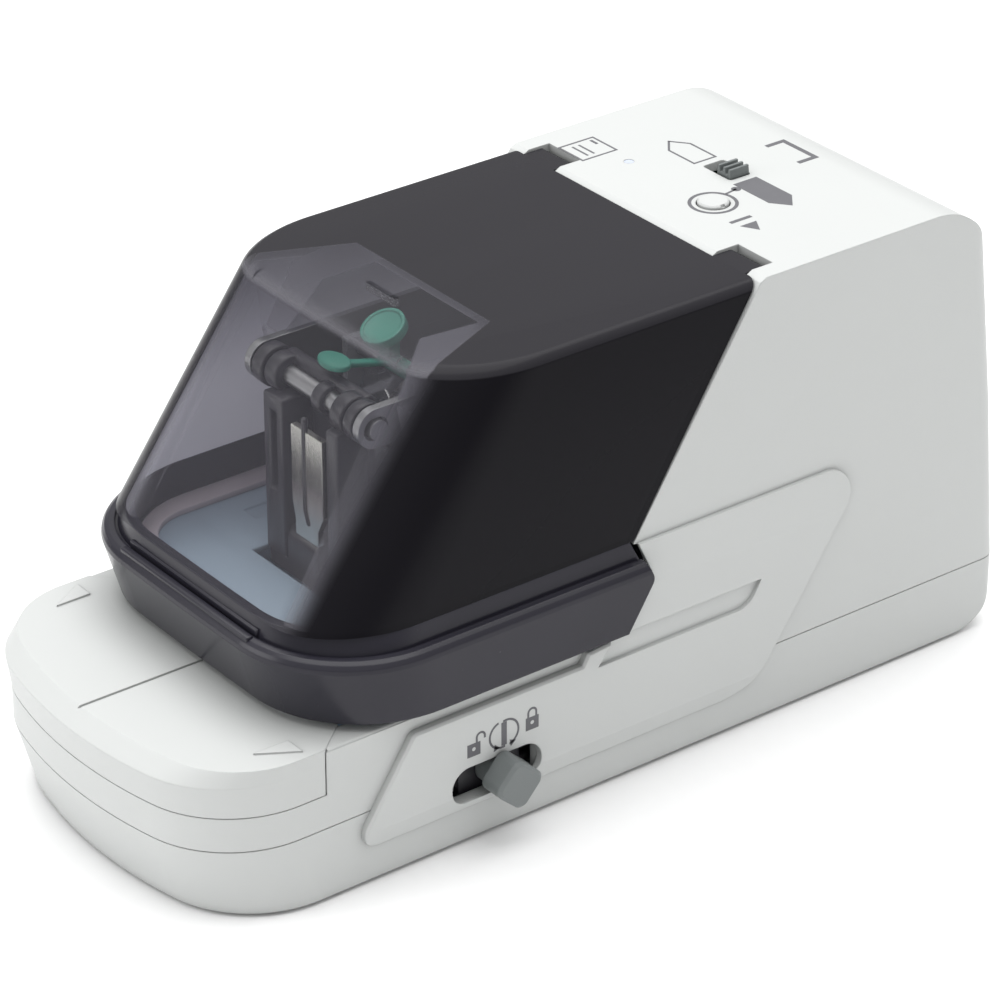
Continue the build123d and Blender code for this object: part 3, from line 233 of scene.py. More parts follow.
class Finish:
    """Builds one procedural material round a Principled shader."""

    def __init__(self, name):
        self.material = bpy.data.materials.new(name)
        self.material.use_nodes = True
        self.tree = self.material.node_tree
        self.tree.nodes.clear()
        self.shader = self.tree.nodes.new("ShaderNodeBsdfPrincipled")
        output = self.tree.nodes.new("ShaderNodeOutputMaterial")
        self.tree.links.new(self.shader.outputs[0], output.inputs["Surface"])
        self.place = None

    def node(self, kind, settings=None, inputs=None):
        made = self.tree.nodes.new(kind)
        for key, value in (settings or {}).items():
            if key == "stops":
                ramp = made.color_ramp
                while len(ramp.elements) < len(value):
                    ramp.elements.new(0.5)
                for element, (position, tone) in zip(ramp.elements, value):
                    element.position = position
                    element.color = (*tone, 1.0)
            else:
                setattr(made, key, value)
        for key, value in (inputs or {}).items():
            self.feed(made.inputs[key], value)
        return made

    def wire(self, kind, settings=None, inputs=None, output=0):
        return Wire(self, self.node(kind, settings, inputs).outputs[output])

    def feed(self, socket, value):
        if isinstance(value, Wire):
            self.tree.links.new(value.socket, socket)
        else:
            socket.default_value = value

    def coords(self, stretch=(1.0, 1.0, 1.0)):
        """Object coordinates, stretched along an axis where a grain runs one way."""
        if self.place is None:
            self.place = self.wire("ShaderNodeTexCoord", output="Object")
        if stretch == (1.0, 1.0, 1.0):
            return self.place
        return self.wire("ShaderNodeMapping", {}, {"Vector": self.place, "Scale": stretch})

    def axes(self):
        parts = self.node("ShaderNodeSeparateXYZ", {}, {"Vector": self.coords()})
        return [Wire(self, parts.outputs[axis]) for axis in range(3)]

    def noise(self, grain, detail=2.0, rough=0.5, stretch=(1.0, 1.0, 1.0)):
        """Noise from 0 to 1 whose blobs are about grain metres across."""
        inputs = {"Vector": self.coords(stretch), "Scale": 1.0 / grain, "Detail": detail, "Roughness": rough}
        return self.wire("ShaderNodeTexNoise", {}, inputs, "Fac")

    def blend(self, amount, low, high):
        inputs = {"Factor": amount, 6: low if isinstance(low, Wire) else (*low, 1.0)}
        inputs[7] = high if isinstance(high, Wire) else (*high, 1.0)
        return self.wire("ShaderNodeMix", {"data_type": "RGBA"}, inputs, 2)

    def soft_edges(self, radius):
        return self.wire("ShaderNodeBevel", {"samples": 6}, {"Radius": radius}, "Normal")

    def edge_mask(self, rounded):
        """1 where the moulded edge turns, 0 on a flat."""
        flat = self.wire("ShaderNodeNewGeometry", output="Normal")
        match = self.wire(
            "ShaderNodeVectorMath", {"operation": "DOT_PRODUCT"}, {0: rounded, 1: flat}, "Value"
        )
        return (1.0 - match).ease(0.02, 0.25)

    def creases(self, reach):
        """0 deep in a seam or corner, 1 in the open."""
        settings = {"samples": 6, "only_local": False}
        return self.wire("ShaderNodeAmbientOcclusion", settings, {"Distance": reach}, "AO")

    def relief(self, height, depth, normal=None, strength=1.0):
        inputs = {"Height": height, "Distance": depth, "Strength": strength}
        if normal is not None:
            inputs["Normal"] = normal
        return self.wire("ShaderNodeBump", {}, inputs, "Normal")

    def coat(self, **inputs):
        """Sets the shader's own sockets."""
        names = {
            "colour": "Base Color", "rough": "Roughness", "metal": "Metallic", "normal": "Normal",
            "alpha": "Alpha", "ior": "IOR", "coat": "Coat Weight", "coat_rough": "Coat Roughness",
            "specular": "Specular IOR Level", "glow": "Emission Color", "glow_power": "Emission Strength",
            "subsurface": "Subsurface Weight", "subsurface_scale": "Subsurface Scale",
        }
        for key, value in inputs.items():
            if key in ("colour", "glow") and not isinstance(value, Wire):
                value = (*value, 1.0)
            self.feed(self.shader.inputs[names[key]], value)
        return self.material


def scaled(colour, factor):
    return tuple(min(1.0, channel * factor) for channel in colour)


# ------------------------------------------------------------------ materials
def moulded(name, colour, rough, grain, depth, soft, tone=0.06, highlight_amount=0.3):
    """Moulded plastic: spark-eroded grain, faint cloudy colour, softened edges with a painted highlight
    along them, and painted shade in seams and corners.
    """
    f = Finish(name)
    cloud = f.noise(0.035, 3.0)
    speck = f.noise(grain, 3.0, 0.6)
    rounded = f.soft_edges(soft)
    edge = f.edge_mask(rounded)
    base = f.blend(cloud, scaled(colour, 1 - tone), scaled(colour, 1 + tone))
    # Painted shade: the colour is darkened in seams and corners by ambient occlusion.
    painted_crease_shade = (1.0 - f.creases(0.003)) * 0.5
    # Painted highlight: the colour is lightened along the softened edges.
    edge_highlight = f.blend(edge * highlight_amount, base, scaled(colour, 1.25))
    painted_light_colour = f.blend(painted_crease_shade, edge_highlight, scaled(colour, 0.35))
    gloss = rough + (speck - 0.5) * 0.14 - edge * 0.08
    return f.coat(colour=painted_light_colour, rough=gloss, normal=f.relief(speck, depth, rounded), ior=1.5)


def shell_plastic():
    return moulded("shell_plastic", colours().shell, 0.46, 0.0005, 0.00002, sizes().edge_soft, 0.015, 0.25)


def bumper_plastic():
    """Satin dark plastic of the frame, a little blue, with a painted highlight lightening its beads and
    edges.
    """
    f = Finish("bumper_plastic")
    speck = f.noise(0.0006, 3.0, 0.6)
    cloud = f.noise(0.03, 2.0)
    rounded = f.soft_edges(sizes().edge_soft)
    edge = f.edge_mask(rounded)
    base = f.blend(cloud, scaled(colours().bumper, 0.85), scaled(colours().bumper, 1.2))
    # Painted highlight: the colour is lightened along the beads and softened edges.
    painted_light_colour = f.blend(edge * 0.3, base, (0.07, 0.068, 0.095))
    return f.coat(
        colour=painted_light_colour, rough=0.25 + (speck - 0.5) * 0.1, normal=f.relief(speck, 0.000006, rounded),
        ior=1.45, specular=0.36,
    )


def roof_mask(f):
    """1 on the hood's flat roof."""
    return (f.axes()[2] - (HOOD_TOP - 0.0022)).ease(0.0, 0.0004)


def window_mask(f):
    """1 in the clear window: the front between the corner rounds, and a trapezoid on the roof."""
    x, y, z = f.axes()
    across = x.magnitude()
    roof = roof_mask(f)
    front = 1.0 - (across - sizes().window_half).ease(-0.0035, 0.0055)
    front_face = HOOD_LOW.y + 0.013 + (z - HOOD_LOW.z) * sizes().hood_shear
    front_zone = (front_face - y).ease(0.0, 0.001)
    run = (ROOF_WINDOW_REAR - y) / (ROOF_WINDOW_REAR - ROOF_WINDOW_FRONT)
    roof_half = 0.0232 + run.clamped() * 0.0095
    roof_side = 1.0 - (across - roof_half).ease(-0.0003, 0.0003)
    roof_back = (ROOF_WINDOW_REAR - y).ease(0.0, 0.0005)
    return (roof * roof_side * roof_back + (1.0 - roof) * front * front_zone).clamped()


def smoked_plastic():
    """Outer face of the hood: nearly opaque, with the clear window left in it, and a painted highlight that
    makes the roof's smoke and tint lighter than the walls'.
    """
    f = Finish("smoked_plastic")
    clear = window_mask(f)
    roof = roof_mask(f)
    haze = f.noise(0.03, 2.0)
    dust = f.noise(0.0012, 2.0, 0.6)
    # Painted highlight: on the roof the smoke and the window tint are lighter, standing in for the overhead
    # light the roof reflects.
    smoke = f.blend(roof, colours().smoke, (0.024, 0.023, 0.027))
    tint = f.blend(roof, colours().smoke_tint, (0.12, 0.118, 0.132))
    colour = f.blend(clear, smoke, tint)
    # Painted shade: the window is made more opaque in a band along the crown, a dark line standing in for
    # shade on the round edge.
    crown = (1.0 - (f.axes()[2] - (HOOD_TOP - 0.0013)).magnitude() / 0.0013).clamped()
    alpha = 0.992 - clear * (0.68 + haze * 0.04) * (1.0 - crown * 0.75)
    return f.coat(
        colour=colour, alpha=alpha, rough=0.2 + haze * 0.06 + (dust - 0.5) * 0.04,
        normal=f.relief(haze, 0.00002), ior=1.4, specular=0.13,
    )


def smoked_lining():
    """Inner face of the hood: clear at the window; elsewhere its colour and glow are painted light standing
    in for the bright studio seen through the smoked walls, with painted shade towards the top.
    """
    f = Finish("smoked_lining")
    clear = window_mask(f)
    haze = f.noise(0.02, 2.0)
    # Painted light: the pale lavender grey stands in for the bright studio seen through the walls.
    colour = f.blend(haze, (0.42, 0.41, 0.47), (0.48, 0.47, 0.53))
    alpha = 0.995 - clear * 0.96
    # Painted shade: colour and glow darken towards the top.
    high = f.axes()[2].ease(HOOD_LOW.z + 0.012, HOOD_TOP)
    # Painted glow: the inner face gives off light though it is no lamp.
    lit = f.blend(haze, (0.60, 0.59, 0.68), (0.72, 0.71, 0.80))
    return f.coat(
        colour=f.blend(high, colour, (0.10, 0.098, 0.115)), alpha=alpha, rough=0.5 + haze * 0.1, ior=1.3,
        specular=0.2, normal=f.relief(haze, 0.00001), glow=f.blend(high, lit, (0.16, 0.155, 0.19)),
        glow_power=0.26,
    )


def brushed_metal(name, colour, rough, stretch):
    f = Finish(name)
    lines = f.noise(0.0016, 4.0, 0.6, stretch)
    cloud = f.noise(0.02, 2.0)
    rounded = f.soft_edges(0.0003)
    tone = f.blend(cloud, scaled(colour, 0.85), scaled(colour, 1.1))
    return f.coat(
        colour=tone, metal=1.0, rough=rough + (lines - 0.5) * 0.16,
        normal=f.relief(lines, 0.00001, rounded),
    )


def staple_metal():
    """Coiled staple strip: bright wire legs in rows round the roll."""
    f = Finish("staple_metal")
    x, y, z = f.axes()
    rows = ((x * 2200.0).math("SINE") * 0.5 + 0.5)
    turns = ((y * y + z * z).math("SQRT") * 3000.0).math("SINE") * 0.5 + 0.5
    return f.coat(
        colour=f.blend(rows, (0.42, 0.41, 0.38), (0.75, 0.73, 0.68)), metal=1.0,
        rough=0.25 + turns * 0.2, normal=f.relief(rows * turns, 0.00005),
    )


def rubber():
    f = Finish("foot_rubber")
    speck = f.noise(0.0004, 3.0, 0.7)
    colour = f.blend(speck, (0.012, 0.012, 0.012), (0.035, 0.035, 0.034))
    return f.coat(colour=colour, rough=0.82 + speck * 0.1, normal=f.relief(speck, 0.00004))


def translucent(name, colour, alpha, rough):
    f = Finish(name)
    haze = f.noise(0.006, 3.0)
    speck = f.noise(0.0005, 2.0)
    rounded = f.soft_edges(0.0004)
    edge = f.edge_mask(rounded)
    return f.coat(
        colour=f.blend(haze, scaled(colour, 0.9), scaled(colour, 1.1)),
        alpha=alpha + haze * 0.12 + edge * 0.2,
        rough=rough + (speck - 0.5) * 0.1, normal=f.relief(speck, 0.00001, rounded), ior=1.49,
    )


def circuit_board():
    f = Finish("circuit_board")
    x, y, _ = f.axes()
    tracks = ((x * 1900.0).math("SINE") * (y * 1500.0).math("SINE")).ease(0.25, 0.4)
    patch = f.noise(0.006, 2.0).ease(0.45, 0.55)
    colour = f.blend(tracks * patch, (0.008, 0.10, 0.035), (0.02, 0.22, 0.08))
    return f.coat(colour=colour, rough=0.3 + patch * 0.1, normal=f.relief(tracks, 0.00004))


def print_ink(name, colour):
    f = Finish(name)
    speck = f.noise(0.0004, 3.0, 0.7)
    thin = f.noise(0.003, 2.0)
    tone = f.blend(speck * 0.6 + thin * 0.4, scaled(colour, 0.85), scaled(colour, 1.2))
    return f.coat(colour=tone, rough=0.5 + speck * 0.15, normal=f.relief(speck, 0.00001))


def floor_paper():
    f = Finish("studio_floor")
    speck = f.noise(0.004, 3.0)
    colour = f.blend(speck, (0.93, 0.93, 0.93), (0.95, 0.95, 0.95))
    return f.coat(colour=colour, rough=0.75, specular=0.1)


MATERIALS = {}


def make_materials():
    c = colours()
    soft = sizes().edge_soft
    lift_grain = 0.0005
    MATERIALS.update(
        shell_plastic=shell_plastic(),
        dark_plastic=bumper_plastic(),
        smoked_plastic=smoked_plastic(),
        smoked_lining=smoked_lining(),
        steel=brushed_metal("brushed_steel", (0.40, 0.40, 0.41), 0.34, (1.0, 0.2, 1.0)),
        bright_steel=brushed_metal("bright_steel", (0.72, 0.71, 0.66), 0.24, (1.0, 1.0, 0.15)),
        motor_can=brushed_metal("motor_can", (0.52, 0.53, 0.54), 0.38, (0.2, 1.0, 1.0)),
        brass=brushed_metal("turned_brass", (0.72, 0.50, 0.22), 0.28, (0.3, 1.0, 1.0)),
        rubber=rubber(),
        blue_plastic=moulded("blue_plastic", c.plate, 0.4, lift_grain, 0.00001, soft, 0.03),
        grey_plastic=moulded("grey_plastic", c.lever, 0.36, lift_grain, 0.000015, soft, 0.05, 0.4),
        head_plastic=moulded(
            "head_plastic", (0.040, 0.038, 0.046), 0.3, lift_grain, 0.00001, 0.0004, 0.1, 0.5
        ),
        black_plastic=moulded(
            "black_plastic", (0.022, 0.021, 0.026), 0.36, lift_grain, 0.00002, soft, 0.1, 0.2
        ),
        green_plastic=moulded("green_plastic", c.green, 0.38, lift_grain, 0.000012, soft, 0.05),
        gear_plastic=moulded("gear_plastic", (0.74, 0.72, 0.64), 0.42, lift_grain, 0.00001, soft, 0.04),
        border_plastic=moulded("border_plastic", (0.60, 0.53, 0.57), 0.42, lift_grain, 0.00001, soft, 0.03),
        clear_plastic=translucent("clear_plastic", (0.72, 0.78, 0.90), 0.7, 0.15),
        cartridge_plastic=translucent("cartridge_plastic", (0.45, 0.47, 0.50), 0.38, 0.25),
        board=circuit_board(),
        ink=print_ink("print_ink", c.ink),
        floor=floor_paper(),
    )
    MATERIALS["staple_metal"] = staple_metal()


# ------------------------------------------------------------------ modelling helpers
def clear_selection():
    if bpy.context.object and bpy.context.object.mode != "OBJECT":
        bpy.ops.object.mode_set(mode="OBJECT")
    bpy.ops.object.select_all(action="DESELECT")


def activate(piece):
    clear_selection()
    piece.select_set(True)
    bpy.context.view_layer.objects.active = piece


@contextmanager
def editing(piece):
    """Edit mode on one piece, with nothing selected."""
    activate(piece)
    bpy.ops.object.mode_set(mode="EDIT")
    bpy.ops.mesh.select_all(action="DESELECT")
    yield
    bpy.ops.object.mode_set(mode="OBJECT")


def pick(piece, kind, test):
    """Selects vertices, edges or faces by a test on their middle and normal."""
    bpy.ops.mesh.select_all(action="DESELECT")
    bpy.ops.mesh.select_mode(type={"verts": "VERT", "edges": "EDGE", "faces": "FACE"}[kind])
    mesh = bmesh.from_edit_mesh(piece.data)
    mesh.normal_update()
    for item in getattr(mesh, kind):
        if kind == "verts":
            hit = test(item.co, item.normal)
        elif kind == "edges":
            ends = [vertex.co for vertex in item.verts]
            hit = test((ends[0] + ends[1]) / 2, (ends[1] - ends[0]).normalized())
        else:
            hit = test(item.calc_center_median(), item.normal)
        if hit:
            item.select_set(True)
    mesh.select_flush_mode()
    bmesh.update_edit_mesh(piece.data)


def block(name, low, high):
    """Cube primitive between two corners, with its place in its mesh."""
    clear_selection()
    low, high = Vector(low), Vector(high)
    bpy.ops.mesh.primitive_cube_add(size=1.0, location=(low + high) / 2)
    piece = bpy.context.object
    piece.name = name
    piece.data.name = name
    piece.scale = high - low
    bpy.ops.object.transform_apply(location=True, rotation=True, scale=True)
    return piece


def cylinder(name, radius, start, end, sides=32):
    """Round bar between two points."""
    clear_selection()
    start, end = Vector(start), Vector(end)
    span = end - start
    turn = span.to_track_quat("Z", "Y").to_euler()
    bpy.ops.mesh.primitive_cylinder_add(
        vertices=sides, radius=radius, depth=span.length, location=(start + end) / 2, rotation=turn
    )
    piece = bpy.context.object
    piece.name = name
    piece.data.name = name
    bpy.ops.object.transform_apply(location=True, rotation=True, scale=True)
    return piece


def modify(piece, kind, **settings):
    """Adds a modifier, sets it and applies it."""
    activate(piece)
    modifier = piece.modifiers.new(kind.title(), kind)
    for key, value in settings.items():
        setattr(modifier, key, value)
    bpy.ops.object.modifier_apply(modifier=modifier.name)


def cut(piece, cutter):
    modify(piece, "BOOLEAN", operation="DIFFERENCE", object=cutter, solver="EXACT")
    bpy.data.objects.remove(cutter)


def join(pieces, name):
    clear_selection()
    for piece in pieces:
        piece.select_set(True)
    bpy.context.view_layer.objects.active = pieces[0]
    bpy.ops.object.join()
    pieces[0].name = name
    pieces[0].data.name = name
    return pieces[0]


def round_edges(piece, width, segments=3, angle=30):
    modify(
        piece, "BEVEL", width=width, segments=segments, limit_method="ANGLE", angle_limit=radians(angle),
        use_clamp_overlap=True,
    )


def finish_piece(piece, materials, body, smooth=35, stands_for=()):
    """Shading, materials and body of a finished piece; hides the CAD parts it stands for."""
    activate(piece)
    bpy.ops.object.shade_smooth_by_angle(angle=radians(smooth))
    for name in materials:
        piece.data.materials.append(MATERIALS[name])
    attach(piece, body)
    if stands_for:
        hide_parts(*stands_for)
    return piece


def bowed_block(name, half, front, rear, low_z, high_z, corner):
    """Block with a bowed front and large round front corners in plan."""
    bow = sizes().hood_bow
    piece = block(name, (-half, front, low_z), (half, rear, high_z))
    columns = [share * 0.6 * half for share in (-1, -0.66, -0.33, 0, 0.33, 0.66, 1)]
    lean = half / bow
    with editing(piece):
        for column in columns:
            pick(piece, "faces", lambda c, n: n.y < -0.5 or abs(n.z) > 0.5)
            bpy.ops.mesh.bisect(plane_co=(column, 0, 0), plane_no=(1, 0, 0))
        for column in [-half, *columns, half]:
            sag = bow - sqrt(bow * bow - column * column)
            pick(piece, "verts", lambda c, n: abs(c.x - column) < 1e-5 and c.y < front + 1e-4)
            bpy.ops.transform.translate(value=(0, sag, 0))
        pick(
            piece, "edges",
            lambda c, d: abs(d.z) > 0.9 and abs(abs(c.x) - half) < 1e-5 and c.y < rear - 0.02,
        )
        reach = corner * tan((pi / 2 - lean) / 2)
        bpy.ops.mesh.bevel(offset=reach, offset_type="OFFSET", segments=16, affect="EDGES")
    return piece


# ------------------------------------------------------------------ hood and cover frame
def hood_rear_plane():
    """Point and normal of the hood's slanted rear edge."""
    rear_top = Vector((0, REAR_EDGE_TOP_Y, HOOD_TOP))
    rear_low = Vector((0, REAR_EDGE_LOW_Y, HOOD_LOW.z))
    run = (rear_top - rear_low).normalized()
    return rear_low, Vector((0, run.z, -run.y))


def hood_shell():
    """Sheared hood with a round crown, open below and at the back."""
    s = sizes()
    rise = HOOD_TOP - HOOD_LOW.z
    half = HOOD_HIGH.x
    piece = bowed_block("hood", half, HOOD_LOW.y, 0.060, HOOD_LOW.z, HOOD_TOP, s.hood_corner)
    with editing(piece):
        pick(piece, "verts", lambda c, n: c.z > HOOD_TOP - 1e-5)
        bpy.ops.transform.translate(value=(0, s.hood_shear * rise, 0))
        bpy.ops.transform.resize(value=(HOOD_HALF_TOP / half, 1, 1), center_override=(0, 0, HOOD_TOP))
        pick(
            piece, "edges",
            lambda c, d: c.z > HOOD_TOP - 1e-5 and c.y < 0.085
            and (abs(c.x) > HOOD_HALF_TOP - 1e-4 or abs(d.y) < 0.999),
        )
        bpy.ops.mesh.bevel(offset=s.crown_round, segments=5, affect="EDGES")
        pick(piece, "faces", lambda c, n: n.z < -0.9 or n.y > 0.9)
        bpy.ops.mesh.delete(type="FACE")
        place, normal = hood_rear_plane()
        bpy.ops.mesh.select_all(action="SELECT")
        bpy.ops.mesh.bisect(plane_co=place, plane_no=normal, clear_outer=True)
        bpy.ops.mesh.select_all(action="SELECT")
        bpy.ops.mesh.remove_doubles(threshold=1e-6)
        bpy.ops.mesh.normals_make_consistent(inside=False)
    for name in ("smoked_plastic", "smoked_lining"):
        piece.data.materials.append(MATERIALS[name])
    modify(
        piece, "SOLIDIFY", thickness=s.hood_wall, offset=-1, use_even_offset=True,
        material_offset=1, material_offset_rim=0,
    )
    return piece


def hinge_lug(side):
    """Rounded lug that carries the hood on its hinge pin."""
    pin = (PIN_LOW + PIN_HIGH) / 2
    low = (side * LUG_X - LUG_HALF, REAR_EDGE_TOP_Y - 0.004, pin.z - 0.0019)
    high = (side * LUG_X + LUG_HALF, pin.y + 0.0022, HOOD_TOP - 0.0001)
    lug = block("lug", low, high)
    with editing(lug):
        pick(lug, "edges", lambda c, d: abs(d.x) > 0.9 and c.y > pin.y)
        bpy.ops.mesh.bevel(offset=0.0016, segments=6, affect="EDGES")
    lug.data.materials.append(MATERIALS["smoked_plastic"])
    return lug


def vent_slot():
    """Cutter for the narrow slot in the hood's roof."""
    centre = Vector((-0.0018, -0.0275, HOOD_TOP))
    half_length, half_width = 0.00525, 0.00065
    below, above = 0.004, 0.002
    low = centre - Vector((half_length, half_width, below))
    high = centre + Vector((half_length, half_width, above))
    slot = block("slot", low, high)
    with editing(slot):
        pick(slot, "edges", lambda c, d: abs(d.z) > 0.9)
        bpy.ops.mesh.bevel(offset=0.0006, segments=4, affect="EDGES")
    return slot


def make_hood():
    """Smoked hood with its clear window, hinge lugs and roof slot."""
    piece = hood_shell()
    cut(piece, vent_slot())
    piece = join([piece, hinge_lug(-1), hinge_lug(1)], "hood")
    return finish_piece(piece, [], "cover", 32, ["cover_hood"])


def make_frame_step():
    """Raised step along the middle of the frame's front bead."""
    bead_z = FRAME_LOW.z + BEAD_RISE
    front = FRAME_LOW.y
    half = STEP_HALF
    under = bead_z - 0.0012
    outer = block("outer", (-half, front + 0.0011, under), (half, front + 0.0030, bead_z + 0.0004))
    inner = block("inner", (-half, front + 0.0036, under), (half, front + 0.0046, bead_z + 0.0014))
    pieces = [outer, inner]
    for piece in pieces:
        round_edges(piece, 0.0004, 3, 40)
    return finish_piece(join(pieces, "frame_step"), ["dark_plastic"], "cover")


def make_side_rails():
    """Pale rails that carry the cover's frame along both sides of the table."""
    rails = []
    for side in (-1, 1):
        low_x, high_x = sorted((side * RAIL_INNER, side * RAIL_OUTER))
        rail = block("rail", (low_x, RAIL_FRONT, RAIL_LOW), (high_x, RAIL_REAR, RAIL_HIGH))
        with editing(rail):
            pick(rail, "edges", lambda c, d: abs(d.y) > 0.9 and c.z > RAIL_HIGH - 0.0005)
            bpy.ops.mesh.bevel(offset=0.0006, segments=3, affect="EDGES")
            pick(rail, "verts", lambda c, n: c.y > RAIL_REAR - 0.001)
            bpy.ops.transform.translate(value=(0, 0.0008, 0))
        rails.append(rail)
    return finish_piece(join(rails, "side_rails"), ["shell_plastic"], "base")


# ------------------------------------------------------------------ marks
def flat_bar(low, high, slant=0.0):
    """Printed bar in the drawing plane, its top moved sideways by slant."""
    thick = sizes().ink_lift
    piece = block("bar", (*low, 0), (*high, thick))
    if slant:
        with editing(piece):
            pick(piece, "verts", lambda c, n: c.y > high[1] - 1e-6)
            bpy.ops.transform.translate(value=(slant, 0, 0))
    return piece


def flat_disc(centre, radius, sides=32, turn=0.0):
    thick = sizes().ink_lift
    clear_selection()
    bpy.ops.mesh.primitive_cylinder_add(
        vertices=sides, radius=radius, depth=thick, location=(*centre, thick / 2), rotation=(0, 0, turn)
    )
    piece = bpy.context.object
    bpy.ops.object.transform_apply(location=True, rotation=True, scale=True)
    return piece


def flat_ring(centre, outer, inner, keep=()):
    """Printed ring; each (x, y) in keep is a direction whose half of the ring stays."""
    thick = sizes().ink_lift
    clear_selection()
    bpy.ops.mesh.primitive_circle_add(
        vertices=56, radius=outer, fill_type="NGON", location=(*centre, 0)
    )
    piece = bpy.context.object
    bpy.ops.object.transform_apply(location=True, rotation=True, scale=True)
    with editing(piece):
        bpy.ops.mesh.select_all(action="SELECT")
        bpy.ops.mesh.inset(thickness=outer - inner)
        bpy.ops.mesh.delete(type="FACE")
        for x, y in keep:
            bpy.ops.mesh.select_all(action="SELECT")
            bpy.ops.mesh.bisect(plane_co=(*centre, 0), plane_no=(x, y, 0), clear_inner=True)
        bpy.ops.mesh.select_all(action="SELECT")
        bpy.ops.mesh.extrude_region_move(TRANSFORM_OT_translate={"value": (0, 0, thick)})
        bpy.ops.mesh.select_all(action="SELECT")
        bpy.ops.mesh.normals_make_consistent(inside=False)
    return piece


def pointed_flag(tip, shoulder, root, half, outline=0.0):
    """Bar along x that comes to a point at tip; with an outline it is left open inside."""
    thick = sizes().ink_lift
    low, high = min(shoulder, root), max(shoulder, root)
    piece = block("flag", (low, -half, 0), (high, half, thick))
    with editing(piece):
        pick(piece, "faces", lambda c, n: abs(n.x) > 0.9 and abs(c.x - shoulder) < 1e-6)
        bpy.ops.mesh.extrude_region_move(TRANSFORM_OT_translate={"value": (tip - shoulder, 0, 0)})
        bpy.ops.transform.resize(value=(1, 0.02, 1), center_override=(tip, 0, 0))
        if outline:
            pick(piece, "faces", lambda c, n: abs(n.z) > 0.9)
            bpy.ops.mesh.inset(thickness=outline, use_individual=False)
            bpy.ops.mesh.bridge_edge_loops()
    return piece


def place_marks(pieces, name, centre, right, up):
    """Joins marks drawn in the plane and lays them on a face, finished at the origin."""
    piece = join(pieces, name)
    right, up = Vector(right), Vector(up)
    out = right.cross(up)
    turn = Matrix((right, up, out)).transposed().to_4x4()
    piece.matrix_world = Matrix.Translation(centre) @ turn
    activate(piece)
    bpy.ops.object.transform_apply(location=True, rotation=True, scale=True)
    return finish_piece(piece, ["ink"], "base", 30)


def make_top_marks():
    """Ring round the start button, mode flags, and three plain pictograms."""
    button = (BUTTON_LOW + BUTTON_HIGH) / 2
    flag_y = 0.0664 - button.y
    marks = [flat_ring((0, 0), 0.00555, 0.00475)]
    manual = pointed_flag(0.0193 - button.x, 0.0153 - button.x, 0.0034 - button.x, 0.0033)
    auto = pointed_flag(-0.0230 - button.x, -0.0190 - button.x, -0.0099 - button.x, 0.0033, 0.0005)
    for flag in (manual, auto):
        activate(flag)
        flag.location.y = flag_y
        bpy.ops.object.transform_apply(location=True, rotation=True, scale=True)
    marks += [manual, auto]
    dot = Vector((-0.0024, 0.0085))
    marks.append(flat_disc(dot, 0.0011))
    marks.append(flat_bar((-0.0021, 0.0050), (-0.0015, 0.0085), -0.0006))
    marks.append(flat_bar((0.0095, -0.0036), (0.0105, 0.0022)))
    marks.append(flat_disc((0.0138, -0.0007), 0.0026, 3, -pi / 2))
    staple = Vector((-0.002, 0.0846)) - Vector((button.x, button.y))
    marks.append(flat_bar(staple + Vector((-0.006, 0.0016)), staple + Vector((0.006, 0.0028))))
    marks.append(flat_bar(staple + Vector((-0.006, -0.0028)), staple + Vector((-0.0048, 0.0016))))
    marks.append(flat_bar(staple + Vector((0.0048, -0.0028)), staple + Vector((0.006, 0.0016))))
    sheet = Vector((-0.0305, 0.0496)) - Vector((button.x, button.y))
    for low, high in (
        ((-0.0045, -0.0045), (-0.0040, 0.0045)), ((0.0040, -0.0045), (0.0045, 0.0045)),
        ((-0.0045, -0.0050), (0.0045, -0.0045)), ((-0.0045, 0.0045), (0.0045, 0.0050)),
        ((-0.0032, 0.0030), (-0.0008, 0.0037)), ((-0.0028, -0.0006), (0.0028, -0.0001)),
        ((-0.0028, -0.0024), (0.0028, -0.0019)),
    ):
        marks.append(flat_bar(sheet + Vector(low), sheet + Vector(high)))
    return place_marks(marks, "top_marks", (button.x, button.y, HOUSING_HIGH.z), (1, 0, 0), (0, 1, 0))


def padlock(centre, opened):
    """Padlock pictogram: body with a keyhole and a shackle."""
    x, y = centre
    half = 0.0017
    body = flat_bar((x - half, y - 0.0017), (x + half, y + 0.0014))
    cut(body, cylinder("keyhole", 0.00048, (x, y, -0.001), (x, y, 0.001)))
    marks = [body]
    shift = 0.0018 if opened else 0.0
    marks.append(flat_ring((x + shift, y + 0.0024), 0.0013, 0.0008, [(0, 1)]))
    marks.append(flat_bar((x + shift - 0.0013, y + 0.0014), (x + shift - 0.0008, y + 0.0024)))
    right_low = y + (0.0018 if opened else 0.0014)
    marks.append(flat_bar((x + shift + 0.0008, right_low), (x + shift + 0.0013, y + 0.0024)))
    return marks


def make_side_marks():
    """Open padlock, turn arrows and shut padlock above the lock knob."""
    marks = padlock((-0.0079, -0.0006), True) + padlock((0.0074, 0.0002), False)
    marks.append(flat_bar((-0.0007, -0.0026), (0.0007, 0.0030)))
    for side in (-1, 1):
        marks.append(flat_ring((side * 0.0006, 0.0002), 0.0034, 0.0029, [(side, 0.28 * side)]))
    marks.append(flat_disc((-0.0021, -0.0026), 0.0010, 3, radians(20)))
    marks.append(flat_disc((0.0021, -0.0026), 0.0010, 3, radians(40)))
    place = (PANEL_HIGH.x, -0.0325, 0.0246)
    return place_marks(marks, "side_marks", place, (0, 1, 0), (0, 0, 1))


# ------------------------------------------------------------------ pieces behind the window

def guide_outline(name, half, front, rear, low_z, high_z, corner):
    """Slab with round front corners in plan."""
    slab = block(name, (-half, front, low_z), (half, rear, high_z))
    with editing(slab):
        pick(slab, "edges", lambda c, d: abs(d.z) > 0.9 and c.y < front + 0.001)
        bpy.ops.mesh.bevel(offset=corner, segments=16, affect="EDGES")
    return slab


